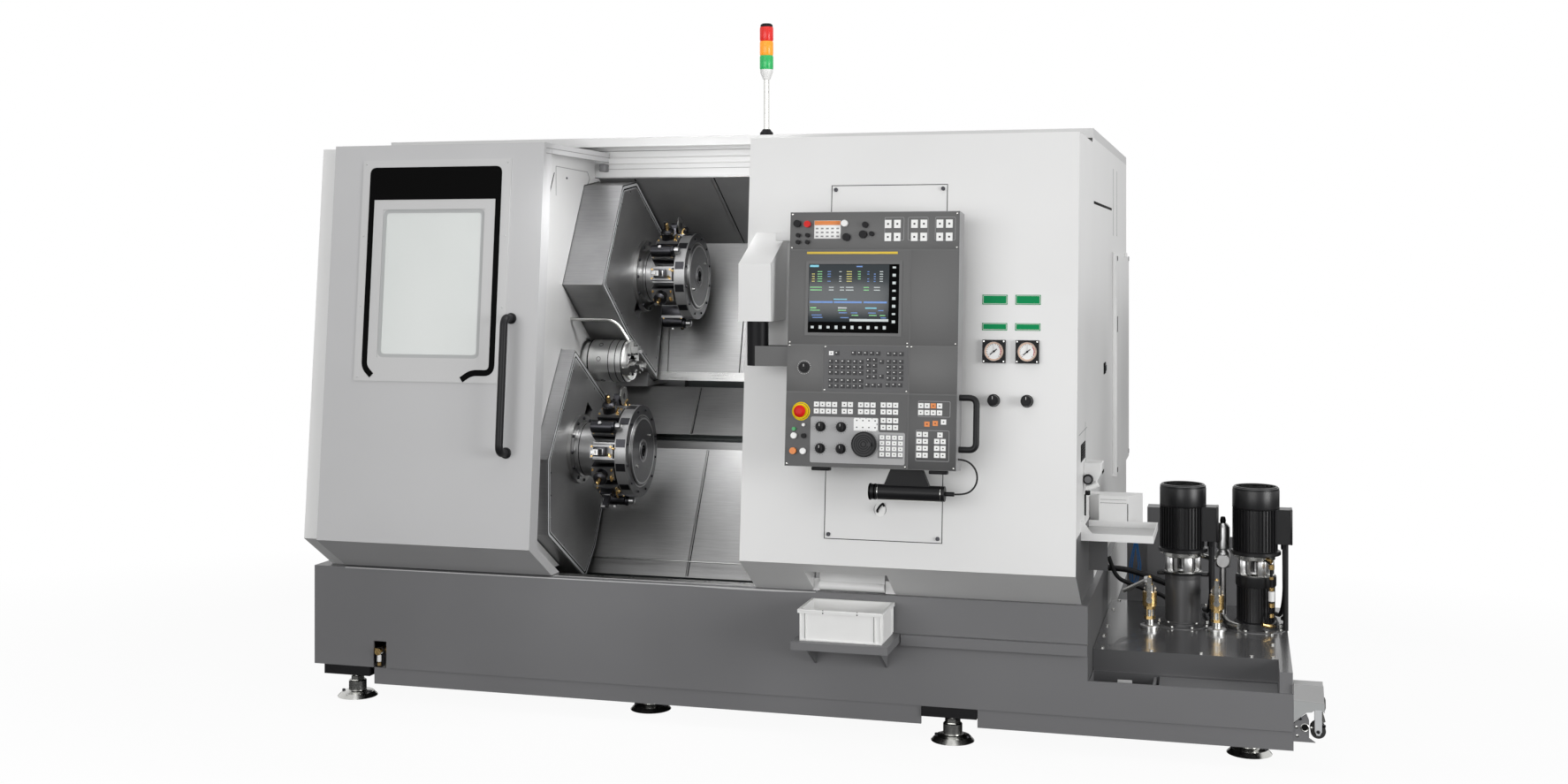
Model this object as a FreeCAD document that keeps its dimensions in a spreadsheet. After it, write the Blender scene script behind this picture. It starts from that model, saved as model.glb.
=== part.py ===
import FreeCAD, Part
import Sketcher
import math
import os
import re

# A twin-turret turning lathe. Lengths are in millimetres, X runs along the spindle to the right,
# Y runs from the operator to the back, Z is up from the floor.
# Until the last step every piece is laid out from the left end of the base (X), the front face
# of the base (Y) and the floor (Z). The finished pieces are then moved so that the origin is the
# middle of the footprint.

# Driving sizes: name, value.
SIZES = [
    # base and feet
    ("tank_long", 658), ("body_length", 2892), ("base_height", 502), ("base_plate", 8),
    ("plate_bottom", 131), ("skirt_bottom", 68), ("skirt_start", 248), ("skirt_inset", 6),
    ("sill_depth", 86), ("ledge_drop", 127), ("ledge_height", 36),
    ("ledge_reach", 24), ("ledge_place", 528.8), ("drain_wide", 53), ("drain_top", 230),
    ("foot_first", 137), ("foot_pitch", 1144), ("foot_inset", 80), ("foot_disc_r", 75),
    ("foot_disc_high", 16), ("foot_stem_r", 15), ("foot_plate_long", 190),
    ("foot_plate_high", 35), ("foot_nut_r", 23), ("foot_mid_shift", 110),
    # leaning front
    ("front_lean", 5.409), ("front_top_y", -40.7), ("front_top", 2082.5),
    ("front_bottom", 630.4), ("chamfer_foot_y", 24.8), ("skin", 3), ("cabinet_front", 504),
    ("cabinet_back", 2302), ("roof_top", 2136), ("roof_lip", 35), ("cover_wide", 1136.2),
    ("cover_margin", 22.6), ("left_end", 48), ("wall_x", 897), ("foot_clear", 3),
    ("flange", 70),
    # door
    ("door_left", 114.4), ("door_width", 842), ("door_deep", 70), ("door_roof_back", 612),
    ("door_clear", 12), ("cheek_wide", 58), ("cheek_inset", 25), ("lip_high", 38),
    ("plate_left", 236), ("plate_wide", 596), ("plate_low", 586), ("plate_high", 816),
    ("plate_thick", 4), ("glass_left", 320), ("glass_wide", 420), ("glass_low", 667),
    ("glass_high", 557), ("glass_thick", 8), ("glass_overlap", 6), ("grip_x", 854),
    ("grip_low", 325), ("grip_high", 509), ("grip_r", 14), ("grip_reach", 62),
    ("beam_y", 620), ("beam_deep", 80), ("hook_rail_top", 2062),
    # front cover
    ("hatch_place", 296.8), ("hatch_wide", 400), ("hatch_low", 89), ("hatch_high", 1198),
    ("hatch_gap", 0.8), ("hatch_thick", 2), ("gauge_place", 273.4), ("gauge_pitch", 110),
    ("gauge_side", 76), ("gauge_low", 688), ("gauge_thick", 14), ("regulator_low", 564),
    ("regulator_r", 17), ("sign_wide", 84), ("sign_low", 882), ("sign_high", 33),
    ("sign_drop", 86), ("chute_place", 213.8), ("chute_wide", 287), ("chute_y", -120),
    ("flap_left", 22), ("flap_right", 34), ("flap_y", 10), ("flap_top", 98), ("flap_low", 37),
    ("flap_roll_r", 15), ("flap_eye_r", 5), ("flap_pin_r", 2.5),
    # spindle and turrets
    ("spindle_y", 520), ("spindle_z", 1262), ("spindle_r", 84), ("slab_half", 80),
    ("head_left", 480), ("head_long", 410), ("chuck_r", 82), ("chuck_length", 195),
    ("chuck_back", 36), ("jaw_reach", 44), ("jaw_wide", 34), ("jaw_deep", 18), ("bore_r", 26),
    ("jaw_in", 32), ("upper_y", 740), ("upper_z", 1592), ("lower_y", 299), ("lower_z", 938),
    ("upper_face", 1060), ("lower_face", 955), ("house_long", 680), ("neck_r", 100),
    ("neck_long", 58), ("lower_neck_more", 27), ("flange_r", 145),
    ("lower_flange_r", 130), ("flange_thick", 14),
    ("drum_r", 122), ("drum_long", 106), ("disc_r", 172), ("disc_thick", 44), ("cap_r", 128),
    ("cap_thick", 6), ("hub_r", 40), ("holder_r", 168), ("tool_reach", 242), ("arm_half", 30),
    ("slot_clear", 2), ("arm_deep", 110), ("cross_travel", 155), ("cross_back", 12),
    ("seat_gap", 0.3), ("wall_gap", 4), ("run_gap", 0.06),
    # covers behind the working area, from the sill upwards
    ("pan_foot_y", 440), ("pan_foot_z", 441), ("pan_top_y", 685), ("pan_top_z", 905),
    ("band_high", 30), ("mid_foot_y", 705), ("mid_foot_z", 960), ("mid_top_y", 885),
    ("mid_top_z", 1136), ("high_foot_y", 900), ("high_foot_z", 1162), ("high_top_y", 1060),
    ("high_top_z", 1727), ("sky_y", 632), ("sky_z", 1984), ("pan_margin", 242),
    ("mid_margin", 213.2), ("rail_wide", 34), ("tongue_high", 16), ("tongue_left", 904),
    # bed
    ("bed_left", 110), ("bed_margin", 132), ("bed_back", 1500), ("bed_front", 600),
    ("low_way_y", 800), ("high_way_y", 1130), ("bed_step", 1060), ("bed_top", 1330),
    ("way_wide", 40), ("way_thick", 26), ("low_way_z", 730), ("high_way_z", 1128),
    ("way_pitch", 160), ("saddle_long", 360), ("saddle_deep", 44), ("motor_long", 85),
    # counter spindle
    ("counter_place", 416.8), ("counter_long", 450), ("counter_nose", 230),
    # pendant
    ("pendant_place", 200.8), ("pendant_y", -329), ("pendant_z", 979), ("pendant_wide", 570),
    ("pendant_high", 841), ("pendant_deep", 95), ("screen_left", 69), ("screen_wide", 305),
    ("screen_low", 440), ("screen_high", 227), ("bezel", 10), ("key_wide", 15),
    ("key_high", 13.5), ("key_across", 20.4), ("key_up", 18.3), ("pad_wide", 17),
    ("pad_high", 16.5), ("pad_across", 20.4), ("pad_up", 22.2), ("strip_wide", 22),
    ("strip_high", 27), ("strip_across", 31), ("strip_up", 43), ("key_proud", 2.5),
    ("stop_x", 52), ("stop_low", 180), ("stop_r", 20),
    ("stop_travel", 6), ("jog_x", 269), ("jog_low", 77.5), ("jog_r", 41), ("dial_x", 120),
    ("dial_pitch", 69.5), ("dial_low", 60.5), ("dial_rise", 71), ("dial_r", 12),
    ("pivot_place", 86.8), ("pivot_y", -250), ("pivot_r", 36), ("arm_low", 1303), ("arm_high", 67),
    ("bracket_low", 1452), ("bracket_high", 300), ("pin_r", 20), ("rail_r", 10),
    ("rail_out", 56), ("rail_low", 58), ("rail_high", 188), ("lamp_r", 25), ("lamp_long", 250),
    ("lamp_place", 277), ("lamp_z", 899), ("cord_r", 3), ("plug_long", 30),
    # parts bin
    ("bin_place", 217), ("bin_wide", 282), ("bin_deep", 186), ("bin_high", 106), ("bin_set", 26),
    ("bin_wall", 4), ("bin_rim", 6), ("tray_reach", 222), ("tray_drop", 127),
    ("tray_thick", 27), ("tray_wide", 332), ("tray_over", 26),
    # coolant tank and pumps
    ("tank_front", 185), ("tank_back", 1060), ("deck_top", 320), ("trough_top", 252),
    ("tank_post", 42), ("wall_high", 265), ("hood_high", 381), ("conduit_r", 9),
    ("pump_place", 288), ("pump_pitch", 258), ("pump_y", 668),
    ("motor_r", 82), ("motor_high", 244), ("lantern_r", 66), ("lantern_high", 77),
    ("pump_body_r", 63), ("pump_body_high", 195), ("shaft_r", 12), ("pipe_r", 17),
    ("hose_r", 11),
    # side shelf, bracket, tower, service door
    ("shelf_top", 745), ("shelf_reach", 238), ("shelf_deep", 300), ("shelf_lip", 25),
    ("column_left", 36), ("column_wide", 101), ("column_deep", 100), ("column_slant", 44),
    ("column_high", 87), ("column_drop", 150), ("plate_reach", 66), ("gusset_high", 43), ("gusset_wide", 38),
    ("tower_x", 1626), ("tower_y", 540), ("tower_high", 429), ("pole_r", 11), ("lens_r", 26),
    ("lens_high", 55), ("side_door_y", 1436), ("side_door_wide", 774), ("side_door_low", 758),
    ("side_door_high", 915), ("side_door_thick", 18), ("roller_r", 24), ("roller_wide", 50),
    ("roller_out", 76), ("crank_reach", 40), ("crank_r", 6),
]

# Sizes worked out from them.
WORKED = [
    # what keeps its distance from the ends of the base, the cover or the roof
    ("base_length", "body_length + tank_long"),
    ("tower_top", "roof_top + tower_high"),
    ("tray_top", "base_height - tray_drop"),
    ("ledge_top", "base_height - ledge_drop"),
    ("cover_right", "body_length - cover_margin"),
    ("cover_left", "cover_right - cover_wide"),
    ("ledge_start", "cover_left + ledge_place"),
    ("hatch_left", "cover_left + hatch_place"),
    ("gauge_x", "cover_right - gauge_place"),
    ("chute_left", "cover_left + chute_place"),
    ("bin_left", "cover_left + bin_place"),
    ("pendant_x", "cover_left + pendant_place"),
    ("pivot_x", "cover_left + pivot_place"),
    ("lamp_x", "pendant_x + lamp_place"),
    ("counter_left", "cover_left + counter_place"),
    ("mid_end", "cover_left - mid_margin"),
    ("bed_right", "body_length - bed_margin"),
    ("pan_end", "body_length - pan_margin"),
    ("pump_x", "body_length + pump_place"),
    # how far the widest pieces stand out of the base, for the middle of the footprint
    ("front_reach", "-pendant_y + crank_reach * cos(front_lean * 1 deg)"
                    " - (jog_low - crank_r) * sin(front_lean * 1 deg)"),
    ("right_reach", "roller_out + roller_r"),
    ("mid_x", "(base_length + right_reach) / 2"),
    ("mid_y", "(cabinet_back - front_reach) / 2"),
    ("front_bottom_y", "front_top_y - (front_top - front_bottom) * tan(front_lean * 1 deg)"),
    ("chute_top", "front_bottom - (chute_y - front_bottom_y) * (front_bottom - base_height)"
                  " / (chamfer_foot_y - front_bottom_y)"),
    ("door_foot", "base_height + foot_clear"),
    ("skin_inset", "door_deep + door_clear"),
    ("door_right", "door_left + door_width"),
    ("roof_low", "roof_top - roof_lip"),
    ("beam_low", "sky_z + 1.2 * skin"),
    ("floor_top", "plate_bottom + base_plate"),
    ("slot_two", "pan_top_z + band_high"),
    ("slope_long", "sqrt((upper_y - spindle_y) ^ 2 + (upper_z - spindle_z) ^ 2)"),
    ("slope_y", "(upper_y - spindle_y) / slope_long"),
    ("slope_z", "(upper_z - spindle_z) / slope_long"),
    ("low_long", "sqrt((spindle_y - lower_y) ^ 2 + (spindle_z - lower_z) ^ 2)"),
    ("low_slope_y", "(spindle_y - lower_y) / low_long"),
    ("low_slope_z", "(spindle_z - lower_z) / low_long"),
    ("chuck_start", "head_left + head_long + seat_gap"),
    ("chuck_end", "chuck_start + chuck_length"),
    ("motor_low", "deck_top + pump_body_high + lantern_high"),
    ("pump_two", "pump_x + pump_pitch"),
    ("head_y", "cos(30 * 1 deg)"),
    ("head_z", "-sin(30 * 1 deg)"),
]

doc = FreeCAD.newDocument("turning_lathe")
sizes = doc.addObject("Spreadsheet::Sheet", "Sizes")
worked = doc.addObject("Spreadsheet::Sheet", "Worked")
owner = {}
nodes = []


def ex(text):
    """Turn a size's plain name into the cell that holds it, anywhere in an expression."""
    return re.sub(r"[a-z][a-z0-9_]*", lambda word: owner.get(word.group(0), word.group(0)), str(text))


for row, (name, value) in enumerate(SIZES, 1):
    sizes.set("A%d" % row, name)
    sizes.set("B%d" % row, str(value))
    sizes.setAlias("B%d" % row, name)
    owner[name] = "Sizes." + name
doc.recompute()
for row, (name, formula) in enumerate(WORKED, 1):
    worked.set("A%d" % row, name)
    worked.set("B%d" % row, "=" + ex(formula))
    worked.setAlias("B%d" % row, name)
    owner[name] = "Worked." + name
    doc.recompute()


class Numbers:
    """The same sizes as plain numbers, for the pieces that loops make."""

    def __getattr__(self, name):
        sheet = sizes if owner[name].startswith("Sizes") else worked
        cell = sheet.get(name)
        return float(getattr(cell, "Value", cell))


S = Numbers()
V = FreeCAD.Vector
X_AXIS = V(1, 0, 0)
Y_AXIS = V(0, 1, 0)
Z_AXIS = V(0, 0, 1)


# Building blocks. Every argument is an expression in the named sizes.

def bind(thing, prop, text):
    thing.setExpression(prop, ex(text))


def put(thing, x, y, z):
    bind(thing, "Placement.Base.x", x)
    bind(thing, "Placement.Base.y", y)
    bind(thing, "Placement.Base.z", z)
    return thing


def block(x0, x1, y0, y1, z0, z1):
    """A block between two corners."""
    thing = doc.addObject("Part::Box", "Block")
    bind(thing, "Length", "(%s) - (%s)" % (x1, x0))
    bind(thing, "Width", "(%s) - (%s)" % (y1, y0))
    bind(thing, "Height", "(%s) - (%s)" % (z1, z0))
    return put(thing, x0, y0, z0)


def rod(axis, x, y, z, radius, length):
    """A round bar that starts at a point and runs along +X, +Y or +Z."""
    thing = doc.addObject("Part::Cylinder", "Rod")
    if axis == "x":
        thing.Placement.Rotation = FreeCAD.Rotation(Y_AXIS, 90)
    if axis == "y":
        thing.Placement.Rotation = FreeCAD.Rotation(X_AXIS, -90)
    bind(thing, "Radius", radius)
    bind(thing, "Height", length)
    return put(thing, x, y, z)


def cone(axis, x, y, z, radius, end_radius, length):
    """A tapered bar, laid out as a rod is."""
    thing = doc.addObject("Part::Cone", "Cone")
    if axis == "x":
        thing.Placement.Rotation = FreeCAD.Rotation(Y_AXIS, 90)
    bind(thing, "Radius1", radius)
    bind(thing, "Radius2", end_radius)
    bind(thing, "Height", length)
    return put(thing, x, y, z)


def sheet_body(plane, start, length, outline):
    """A profile drawn on a base plane of its own body and padded to a length."""
    body = doc.addObject("PartDesign::Body", "Body")
    sketch = body.newObject("Sketcher::SketchObject", "Profile")
    role = plane + "_Plane"
    support = [f for f in body.Origin.OriginFeatures if getattr(f, "Role", "") == role][0]
    sketch.AttachmentSupport = [(support, "")]
    sketch.MapMode = "FlatFace"
    count = len(outline)
    for i in range(count):
        a = 2 * math.pi * i / count
        b = 2 * math.pi * (i + 1) / count
        sketch.addGeometry(Part.LineSegment(V(math.cos(a), math.sin(a), 0) * 100,
                                            V(math.cos(b), math.sin(b), 0) * 100), False)
    for i in range(count):
        sketch.addConstraint(Sketcher.Constraint("Coincident", i, 2, (i + 1) % count, 1))
    for i, (across, up) in enumerate(outline):
        for kind, letter, text in (("DistanceX", "u", across), ("DistanceY", "v", up)):
            index = sketch.addConstraint(Sketcher.Constraint(kind, -1, 1, i, 1, 10.0 + i))
            sketch.renameConstraint(index, "%s%d" % (letter, i))
            bind(sketch, "Constraints.%s%d" % (letter, i), text)
    pad = body.newObject("PartDesign::Pad", "Pad")
    pad.Profile = sketch
    bind(pad, "Length", length)
    if plane == "XZ":
        bind(sketch, "AttachmentOffset.Base.z", "-(%s)" % start)
        pad.Reversed = True
    else:
        bind(sketch, "AttachmentOffset.Base.z", start)
    return body


def prism_x(start, length, outline):
    """A profile of (Y, Z) points carried along X."""
    return sheet_body("YZ", start, length, outline)


def prism_y(start, length, outline):
    """A profile of (X, Z) points carried along Y."""
    return sheet_body("XZ", start, length, outline)


def prism_z(start, length, outline):
    """A profile of (X, Y) points carried along Z."""
    return sheet_body("XY", start, length, outline)


def fuse(*parts):
    thing = doc.addObject("Part::MultiFuse", "Fuse")
    thing.Shapes = list(parts)
    thing.Refine = True
    return thing


def cut(base, *tools):
    thing = doc.addObject("Part::Cut", "Cut")
    thing.Base = base
    thing.Tool = tools[0] if len(tools) == 1 else fuse(*tools)
    return thing


def several(*parts):
    thing = doc.addObject("Part::Compound", "Group")
    thing.Links = list(parts)
    return thing


def made(shape):
    thing = doc.addObject("Part::Feature", "Made")
    thing.Shape = shape
    return thing


def leaning(x, y, z, *parts):
    """Pieces drawn on a flat front, turned to lean as the front of the machine does."""
    thing = several(*parts)
    thing.Placement.Rotation = FreeCAD.Rotation(X_AXIS, -5)
    bind(thing, "Placement.Rotation.Angle", "front_lean")
    thing.Placement.Rotation.Axis = V(-1, 0, 0)
    return put(thing, x, y, z)


def on_front(*parts):
    return leaning("0", "front_bottom_y", "front_bottom", *parts)


def on_pendant(*parts):
    return leaning("pendant_x", "pendant_y", "pendant_z", *parts)


def keep(label, *parts):
    """Name a finished piece and move it so that the origin is the middle of the footprint."""
    thing = several(*parts)
    thing.Label = label
    nodes.append(thing)
    return put(thing, "-mid_x", "-mid_y", "0")


def solid_box(x0, x1, y0, y1, z0, z1):
    return Part.makeBox(x1 - x0, y1 - y0, z1 - z0, V(x0, y0, z0))


def solid_rod(x, y, z, radius, length, axis):
    return Part.makeCylinder(radius, length, V(x, y, z), axis)


def cord_path(points):
    """Straight runs joined by arcs that touch them, each as large as its two runs allow."""
    edges = []
    radii = []
    start = points[0]
    for i in range(1, len(points) - 1):
        before = points[i - 1] - points[i]
        after = points[i + 1] - points[i]
        half_turn = (math.pi - before.getAngle(after)) / 2
        reach = 0.45 * min(before.Length, after.Length)
        radii.append(reach / math.tan(half_turn))
        a = points[i] + V(before).normalize() * reach
        b = points[i] + V(after).normalize() * reach
        bisector = (V(before).normalize() + V(after).normalize()).normalize()
        middle = points[i] + bisector * (radii[-1] / math.cos(half_turn) - radii[-1])
        edges.append(Part.LineSegment(start, a).toShape())
        edges.append(Part.Arc(a, middle, b).toShape())
        start = b
    edges.append(Part.LineSegment(start, points[-1]).toShape())
    return Part.Wire(edges), radii


def cord_tube(label, points, radius):
    """A plain tube along a cord's route."""
    path, radii = cord_path(points)
    along = points[1] - points[0]
    ring = Part.Wire([Part.makeCircle(radius, points[0], along)])
    tube = path.makePipeShell([ring], True, False)
    expected = math.pi * radius ** 2 * path.Length
    print("%s: %.0f mm long, radii %s, volume %.4f of section times length" % (
        label, path.Length, [round(r) for r in radii], tube.Volume / expected))
    return made(tube)


def lean_y(height):
    """How far back the leaning front stands at a height."""
    return "front_top_y - (front_top - (%s)) * tan(front_lean * 1 deg)" % height


def front_line(inset, top, foot):
    """The front's outline from its top to the foot of its chamfer."""
    return [("%s + %s" % (lean_y(top), inset), top),
            ("front_bottom_y + %s" % inset, "front_bottom"),
            ("chamfer_foot_y + %s" % inset, foot)]


def front_skin(inset, top, foot):
    """The closed outline of a skin that follows the front."""
    outer = front_line(inset, top, foot)
    inner = [("chamfer_foot_y + %s + 1.9 * skin" % inset, foot),
             ("front_bottom_y + %s + skin" % inset, "front_bottom + 0.57 * skin"),
             ("%s + %s + skin" % (lean_y(top), inset), top)]
    return outer + inner


# Base, feet and what stands on them.

def base_frame():
    front = block("0", "base_length", "0", "base_plate", "plate_bottom", "trough_top")
    upper = block("0", "body_length", "0", "base_plate", "trough_top", "base_height")
    floor = block("0", "body_length", "0", "cabinet_back", "plate_bottom", "floor_top")
    shelf = block("body_length", "base_length", "0", "tank_back", "plate_bottom", "floor_top")
    back = block("0", "body_length", "cabinet_back - base_plate", "cabinet_back",
                 "plate_bottom", "base_height")
    left = block("0", "base_plate", "0", "cabinet_back", "plate_bottom", "base_height")
    right = block("body_length - base_plate", "body_length", "0", "cabinet_back",
                  "plate_bottom", "base_height")
    sill = block("0", "body_length", "0", "sill_depth", "base_height - base_plate", "base_height")
    rim_left = block("0", "flange", "0", "cabinet_back", "base_height - base_plate", "base_height")
    rim_right = block("body_length - flange", "body_length", "0", "cabinet_back",
                      "base_height - base_plate", "base_height")
    rim_back = block("0", "body_length", "cabinet_back - flange", "cabinet_back",
                     "base_height - base_plate", "base_height")
    gap = "foot_first + 2 * foot_pitch - foot_plate_long / 2 - 2"
    skirt = block("skirt_start", gap, "skirt_inset", "skirt_inset + base_plate",
                  "skirt_bottom", "plate_bottom")
    skirt_two = block(gap + " + foot_plate_long + 4", "base_length", "skirt_inset",
                      "skirt_inset + base_plate", "skirt_bottom", "plate_bottom")
    ledge = block("ledge_start", "body_length", "-ledge_reach", "0", "ledge_top - ledge_height",
                  "ledge_top")
    tray_x = "(bin_left + bin_wide + tray_over - tray_wide)"
    tray = block(tray_x, tray_x + " + tray_wide", "-tray_reach", "0", "tray_top - tray_thick",
                 "tray_top")
    ribs = [prism_x(x, "base_plate", [("0", "tray_top - tray_thick"),
                                      ("-tray_reach * 0.7", "tray_top - tray_thick"),
                                      ("0", "tray_top - 4.5 * tray_thick")])
            for x in (tray_x + " + tray_thick", tray_x + " + tray_wide - 2 * tray_thick")]
    drain = block("skirt_start", "skirt_start + drain_wide", "-1", "base_plate + 1",
                  "plate_bottom - 1", "drain_top")
    drain_floor = block("skirt_start", "skirt_start + drain_wide", "-1", "2 * drain_wide",
                        "plate_bottom - 1", "floor_top + 1")
    tail = prism_y("base_plate - 1", "base_plate", [
        ("base_length - 30", "99"), ("base_length + 68", "99"), ("base_length + 48", "112"),
        ("base_length + 48", "170"), ("base_length + 40", "190"), ("base_length", "158"),
        ("base_length", "floor_top"), ("base_length - 30", "floor_top")])
    whole = fuse(front, upper, floor, shelf, back, left, right, sill, rim_left, rim_right,
                 rim_back, skirt, skirt_two, ledge, tray, tail, *ribs)
    keep("base_frame", cut(whole, drain, drain_floor))


def one_foot(x, y):
    low = "plate_bottom - foot_plate_high"
    disc = cone("z", x, y, "0", "foot_disc_r", "foot_disc_r * 0.8", "foot_disc_high")
    stem = rod("z", x, y, "foot_disc_high / 2", "foot_stem_r", low + " - foot_disc_high / 2 + 2")
    nut = doc.addObject("Part::Prism", "Nut")
    nut.Polygon = 6
    bind(nut, "Circumradius", "foot_nut_r")
    bind(nut, "Height", "foot_stem_r")
    put(nut, x, y, low + " - foot_stem_r")
    plate = block(x + " - foot_plate_long / 2", x + " + foot_plate_long / 2", y + " - foot_inset",
                  y + " + foot_inset", low, "plate_bottom")
    return fuse(disc, stem, nut, plate)


def levelling_feet():
    feet = []
    for i in range(3):
        x = "foot_first + %d * foot_pitch" % i
        front = "foot_inset + foot_mid_shift" if i == 1 else "foot_inset"
        feet.append(one_foot("(%s)" % x, "(%s)" % front))
        feet.append(one_foot("(%s)" % x, "(cabinet_back - foot_inset)"))
    for y in ("(foot_inset + foot_mid_shift)", "(tank_back - foot_inset)"):
        feet.append(one_foot("(base_length - foot_first)", y))
    keep("levelling_feet", *feet)


def parts_bin():
    right = "bin_left + bin_wide"
    front = "-tray_reach + bin_set"
    back = front + " + bin_deep"
    top = "tray_top + bin_high"
    body = block("bin_left", right, front, back, "tray_top", top)
    rim = block("bin_left - bin_rim", right + " + bin_rim", front + " - bin_rim",
                back + " + bin_rim", top + " - 2 * bin_rim", top)
    room = block("bin_left + bin_wall", right + " - bin_wall", front + " + bin_wall",
                 back + " - bin_wall", "tray_top + bin_wall", top + " + 1")
    keep("parts_bin", cut(fuse(body, rim), room))


def bed_body():
    return prism_x("bed_left", "bed_right - bed_left", [
        ("bed_front", "floor_top"), ("bed_front", "base_height - 22"),
        ("low_way_y", "low_way_z - way_wide"), ("low_way_y", "slot_two"),
        ("high_way_y - 200", "bed_step"), ("high_way_y", "bed_step"), ("high_way_y", "bed_top"),
        ("bed_back", "bed_top"), ("bed_back", "floor_top")])


def slant_bed():
    parts = [bed_body()]
    for y, z in (("low_way_y", "low_way_z"), ("high_way_y", "high_way_z")):
        for row in ("0", "way_pitch"):
            low = "%s + %s" % (z, row)
            parts.append(block("bed_left", "bed_right", y + " - way_thick", y, low,
                               low + " + way_wide"))
        middle = "%s + (way_pitch + way_wide) / 2" % z
        parts.append(rod("x", "bed_left", y + " - way_thick / 2", middle, "way_thick * 0.35",
                         "bed_right - bed_left + motor_long / 2"))
        parts.append(block("bed_right", "bed_right + motor_long", y + " - 2 * way_thick",
                           y + " + way_wide", middle + " - way_wide", middle + " + way_wide"))
    keep("slant_bed", fuse(*parts))


def spindle_slab(start, length):
    """The casting that carries a spindle from the bed, between the two turret housings."""
    reach = "560"
    a = "slab_half * -head_z"
    b = "slab_half * head_y"
    return prism_x(start, length, [
        ("spindle_y + " + a, "spindle_z + " + b), ("spindle_y - " + a, "spindle_z - " + b),
        ("spindle_y - " + a + " + head_y * " + reach, "spindle_z - " + b + " + head_z * " + reach),
        ("spindle_y + " + a + " + head_y * " + reach, "spindle_z + " + b + " + head_z * " + reach)])


def headstock():
    body = fuse(rod("x", "head_left", "spindle_y", "spindle_z", "spindle_r", "head_long"),
                spindle_slab("head_left", "head_long"))
    bore = rod("x", "head_left - 1", "spindle_y", "spindle_z", "bore_r", "head_long + 2")
    keep("headstock", cut(body, bore, bed_body()))


def chuck_shape(start, length, back):
    body = rod("x", start, "spindle_y", "spindle_z", "chuck_r * 0.9", length)
    ring = rod("x", "(%s) + (%s)" % (start, back), "spindle_y", "spindle_z", "chuck_r",
               "(%s) - (%s) - 14" % (length, back))
    return fuse(body, ring)


def jaw_box(radius_in, radius_out, x0, x1, wide, turn):
    """A block that stands out from the spindle axis, turned about it."""
    size = (x1 - x0, wide, radius_out - radius_in)
    shape = Part.makeBox(size[0], size[1], size[2], V(x0, -wide / 2, radius_in))
    shape.rotate(V(0, 0, 0), X_AXIS, turn)
    shape.translate(V(0, S.spindle_y, S.spindle_z))
    return shape


def chuck():
    body = chuck_shape("chuck_start", "chuck_length", "chuck_back")
    bore = rod("x", "chuck_start - 1", "spindle_y", "spindle_z", "bore_r", "chuck_length + 2")
    slots = [made(jaw_box(S.bore_r - 10, S.chuck_r + 5, S.chuck_end - S.jaw_deep - S.seat_gap,
                          S.chuck_end + 1, S.jaw_wide + 2 * S.seat_gap, 120 * i))
             for i in range(3)]
    keep("chuck", cut(body, bore, *slots))
    for i in range(3):
        foot = jaw_box(S.jaw_in, S.chuck_r - 6, S.chuck_end - S.jaw_deep, S.chuck_end + 12,
                       S.jaw_wide, 120 * i)
        step = jaw_box(S.jaw_in, S.chuck_r - 24, S.chuck_end + 10, S.chuck_end + 28, S.jaw_wide,
                       120 * i)
        tip = jaw_box(S.jaw_in, S.chuck_r - 38, S.chuck_end + 26, S.chuck_end + S.jaw_reach,
                      S.jaw_wide * 0.6, 120 * i)
        keep("chuck_jaw_%d" % (i + 1), made(foot.fuse(step).fuse(tip).removeSplitter()))


def counter_spindle():
    carrier_y = "low_way_y - way_thick - seat_gap"
    slab = cut(spindle_slab("counter_left", "counter_long"),
               block("counter_left - 1", "counter_left + counter_long + 1", carrier_y,
                     "bed_back", "0", "bed_top + 200"))
    carrier = block("counter_left", "counter_left + counter_long", carrier_y + " - saddle_deep",
                    carrier_y, "low_way_z - 20", "spindle_z - slab_half")
    body = fuse(rod("x", "counter_left", "spindle_y", "spindle_z", "spindle_r", "counter_long"),
                slab, carrier)
    keep("counter_headstock", cut(body, rod("x", "counter_left - 1", "spindle_y", "spindle_z",
                                            "bore_r", "counter_long + 2")))
    start = "counter_left - seat_gap - counter_nose"
    bore = rod("x", start + " - 1", "spindle_y", "spindle_z", "bore_r", "counter_nose + 2")
    nose = fuse(rod("x", start, "spindle_y", "spindle_z", "chuck_r", "counter_nose * 0.6"),
                rod("x", start, "spindle_y", "spindle_z", "chuck_r * 0.8", "counter_nose"))
    keep("counter_chuck", cut(nose, bore))


# Turrets and their carriages. A housing's outline is given from its turret's axis.

UPPER_HOUSE = [(-260, 356), (-478, -28), (-195, -242), (140, -427), (290, 135), (-100, 378)]
LOWER_HOUSE = [(-49, 380), (-309, -6), (-309, -283), (56, -506), (163, -398), (356, -33),
               (371, 117)]


def house_solid(outline, y, z, grow, start, end):
    """A housing's outline, grown or shrunk, between two places along X."""
    points = [V(start, y + across, z + up) for across, up in outline]
    face = Part.Face(Part.makePolygon(points + [points[0]]))
    if grow:
        face = face.makeOffset2D(grow, 2)
    return face.extrude(V(end - start, 0, 0))


def slanted(y, z, turn, x0, x1, n0, n1, s0, s1):
    """A block whose height runs along the cross slide through a turret's axis."""
    shape = Part.makeBox(x1 - x0, n1 - n0, s1 - s0, V(x0, n0, s0))
    shape.rotate(V(0, 0, 0), X_AXIS, turn)
    shape.translate(V(0, y, z))
    return shape


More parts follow.
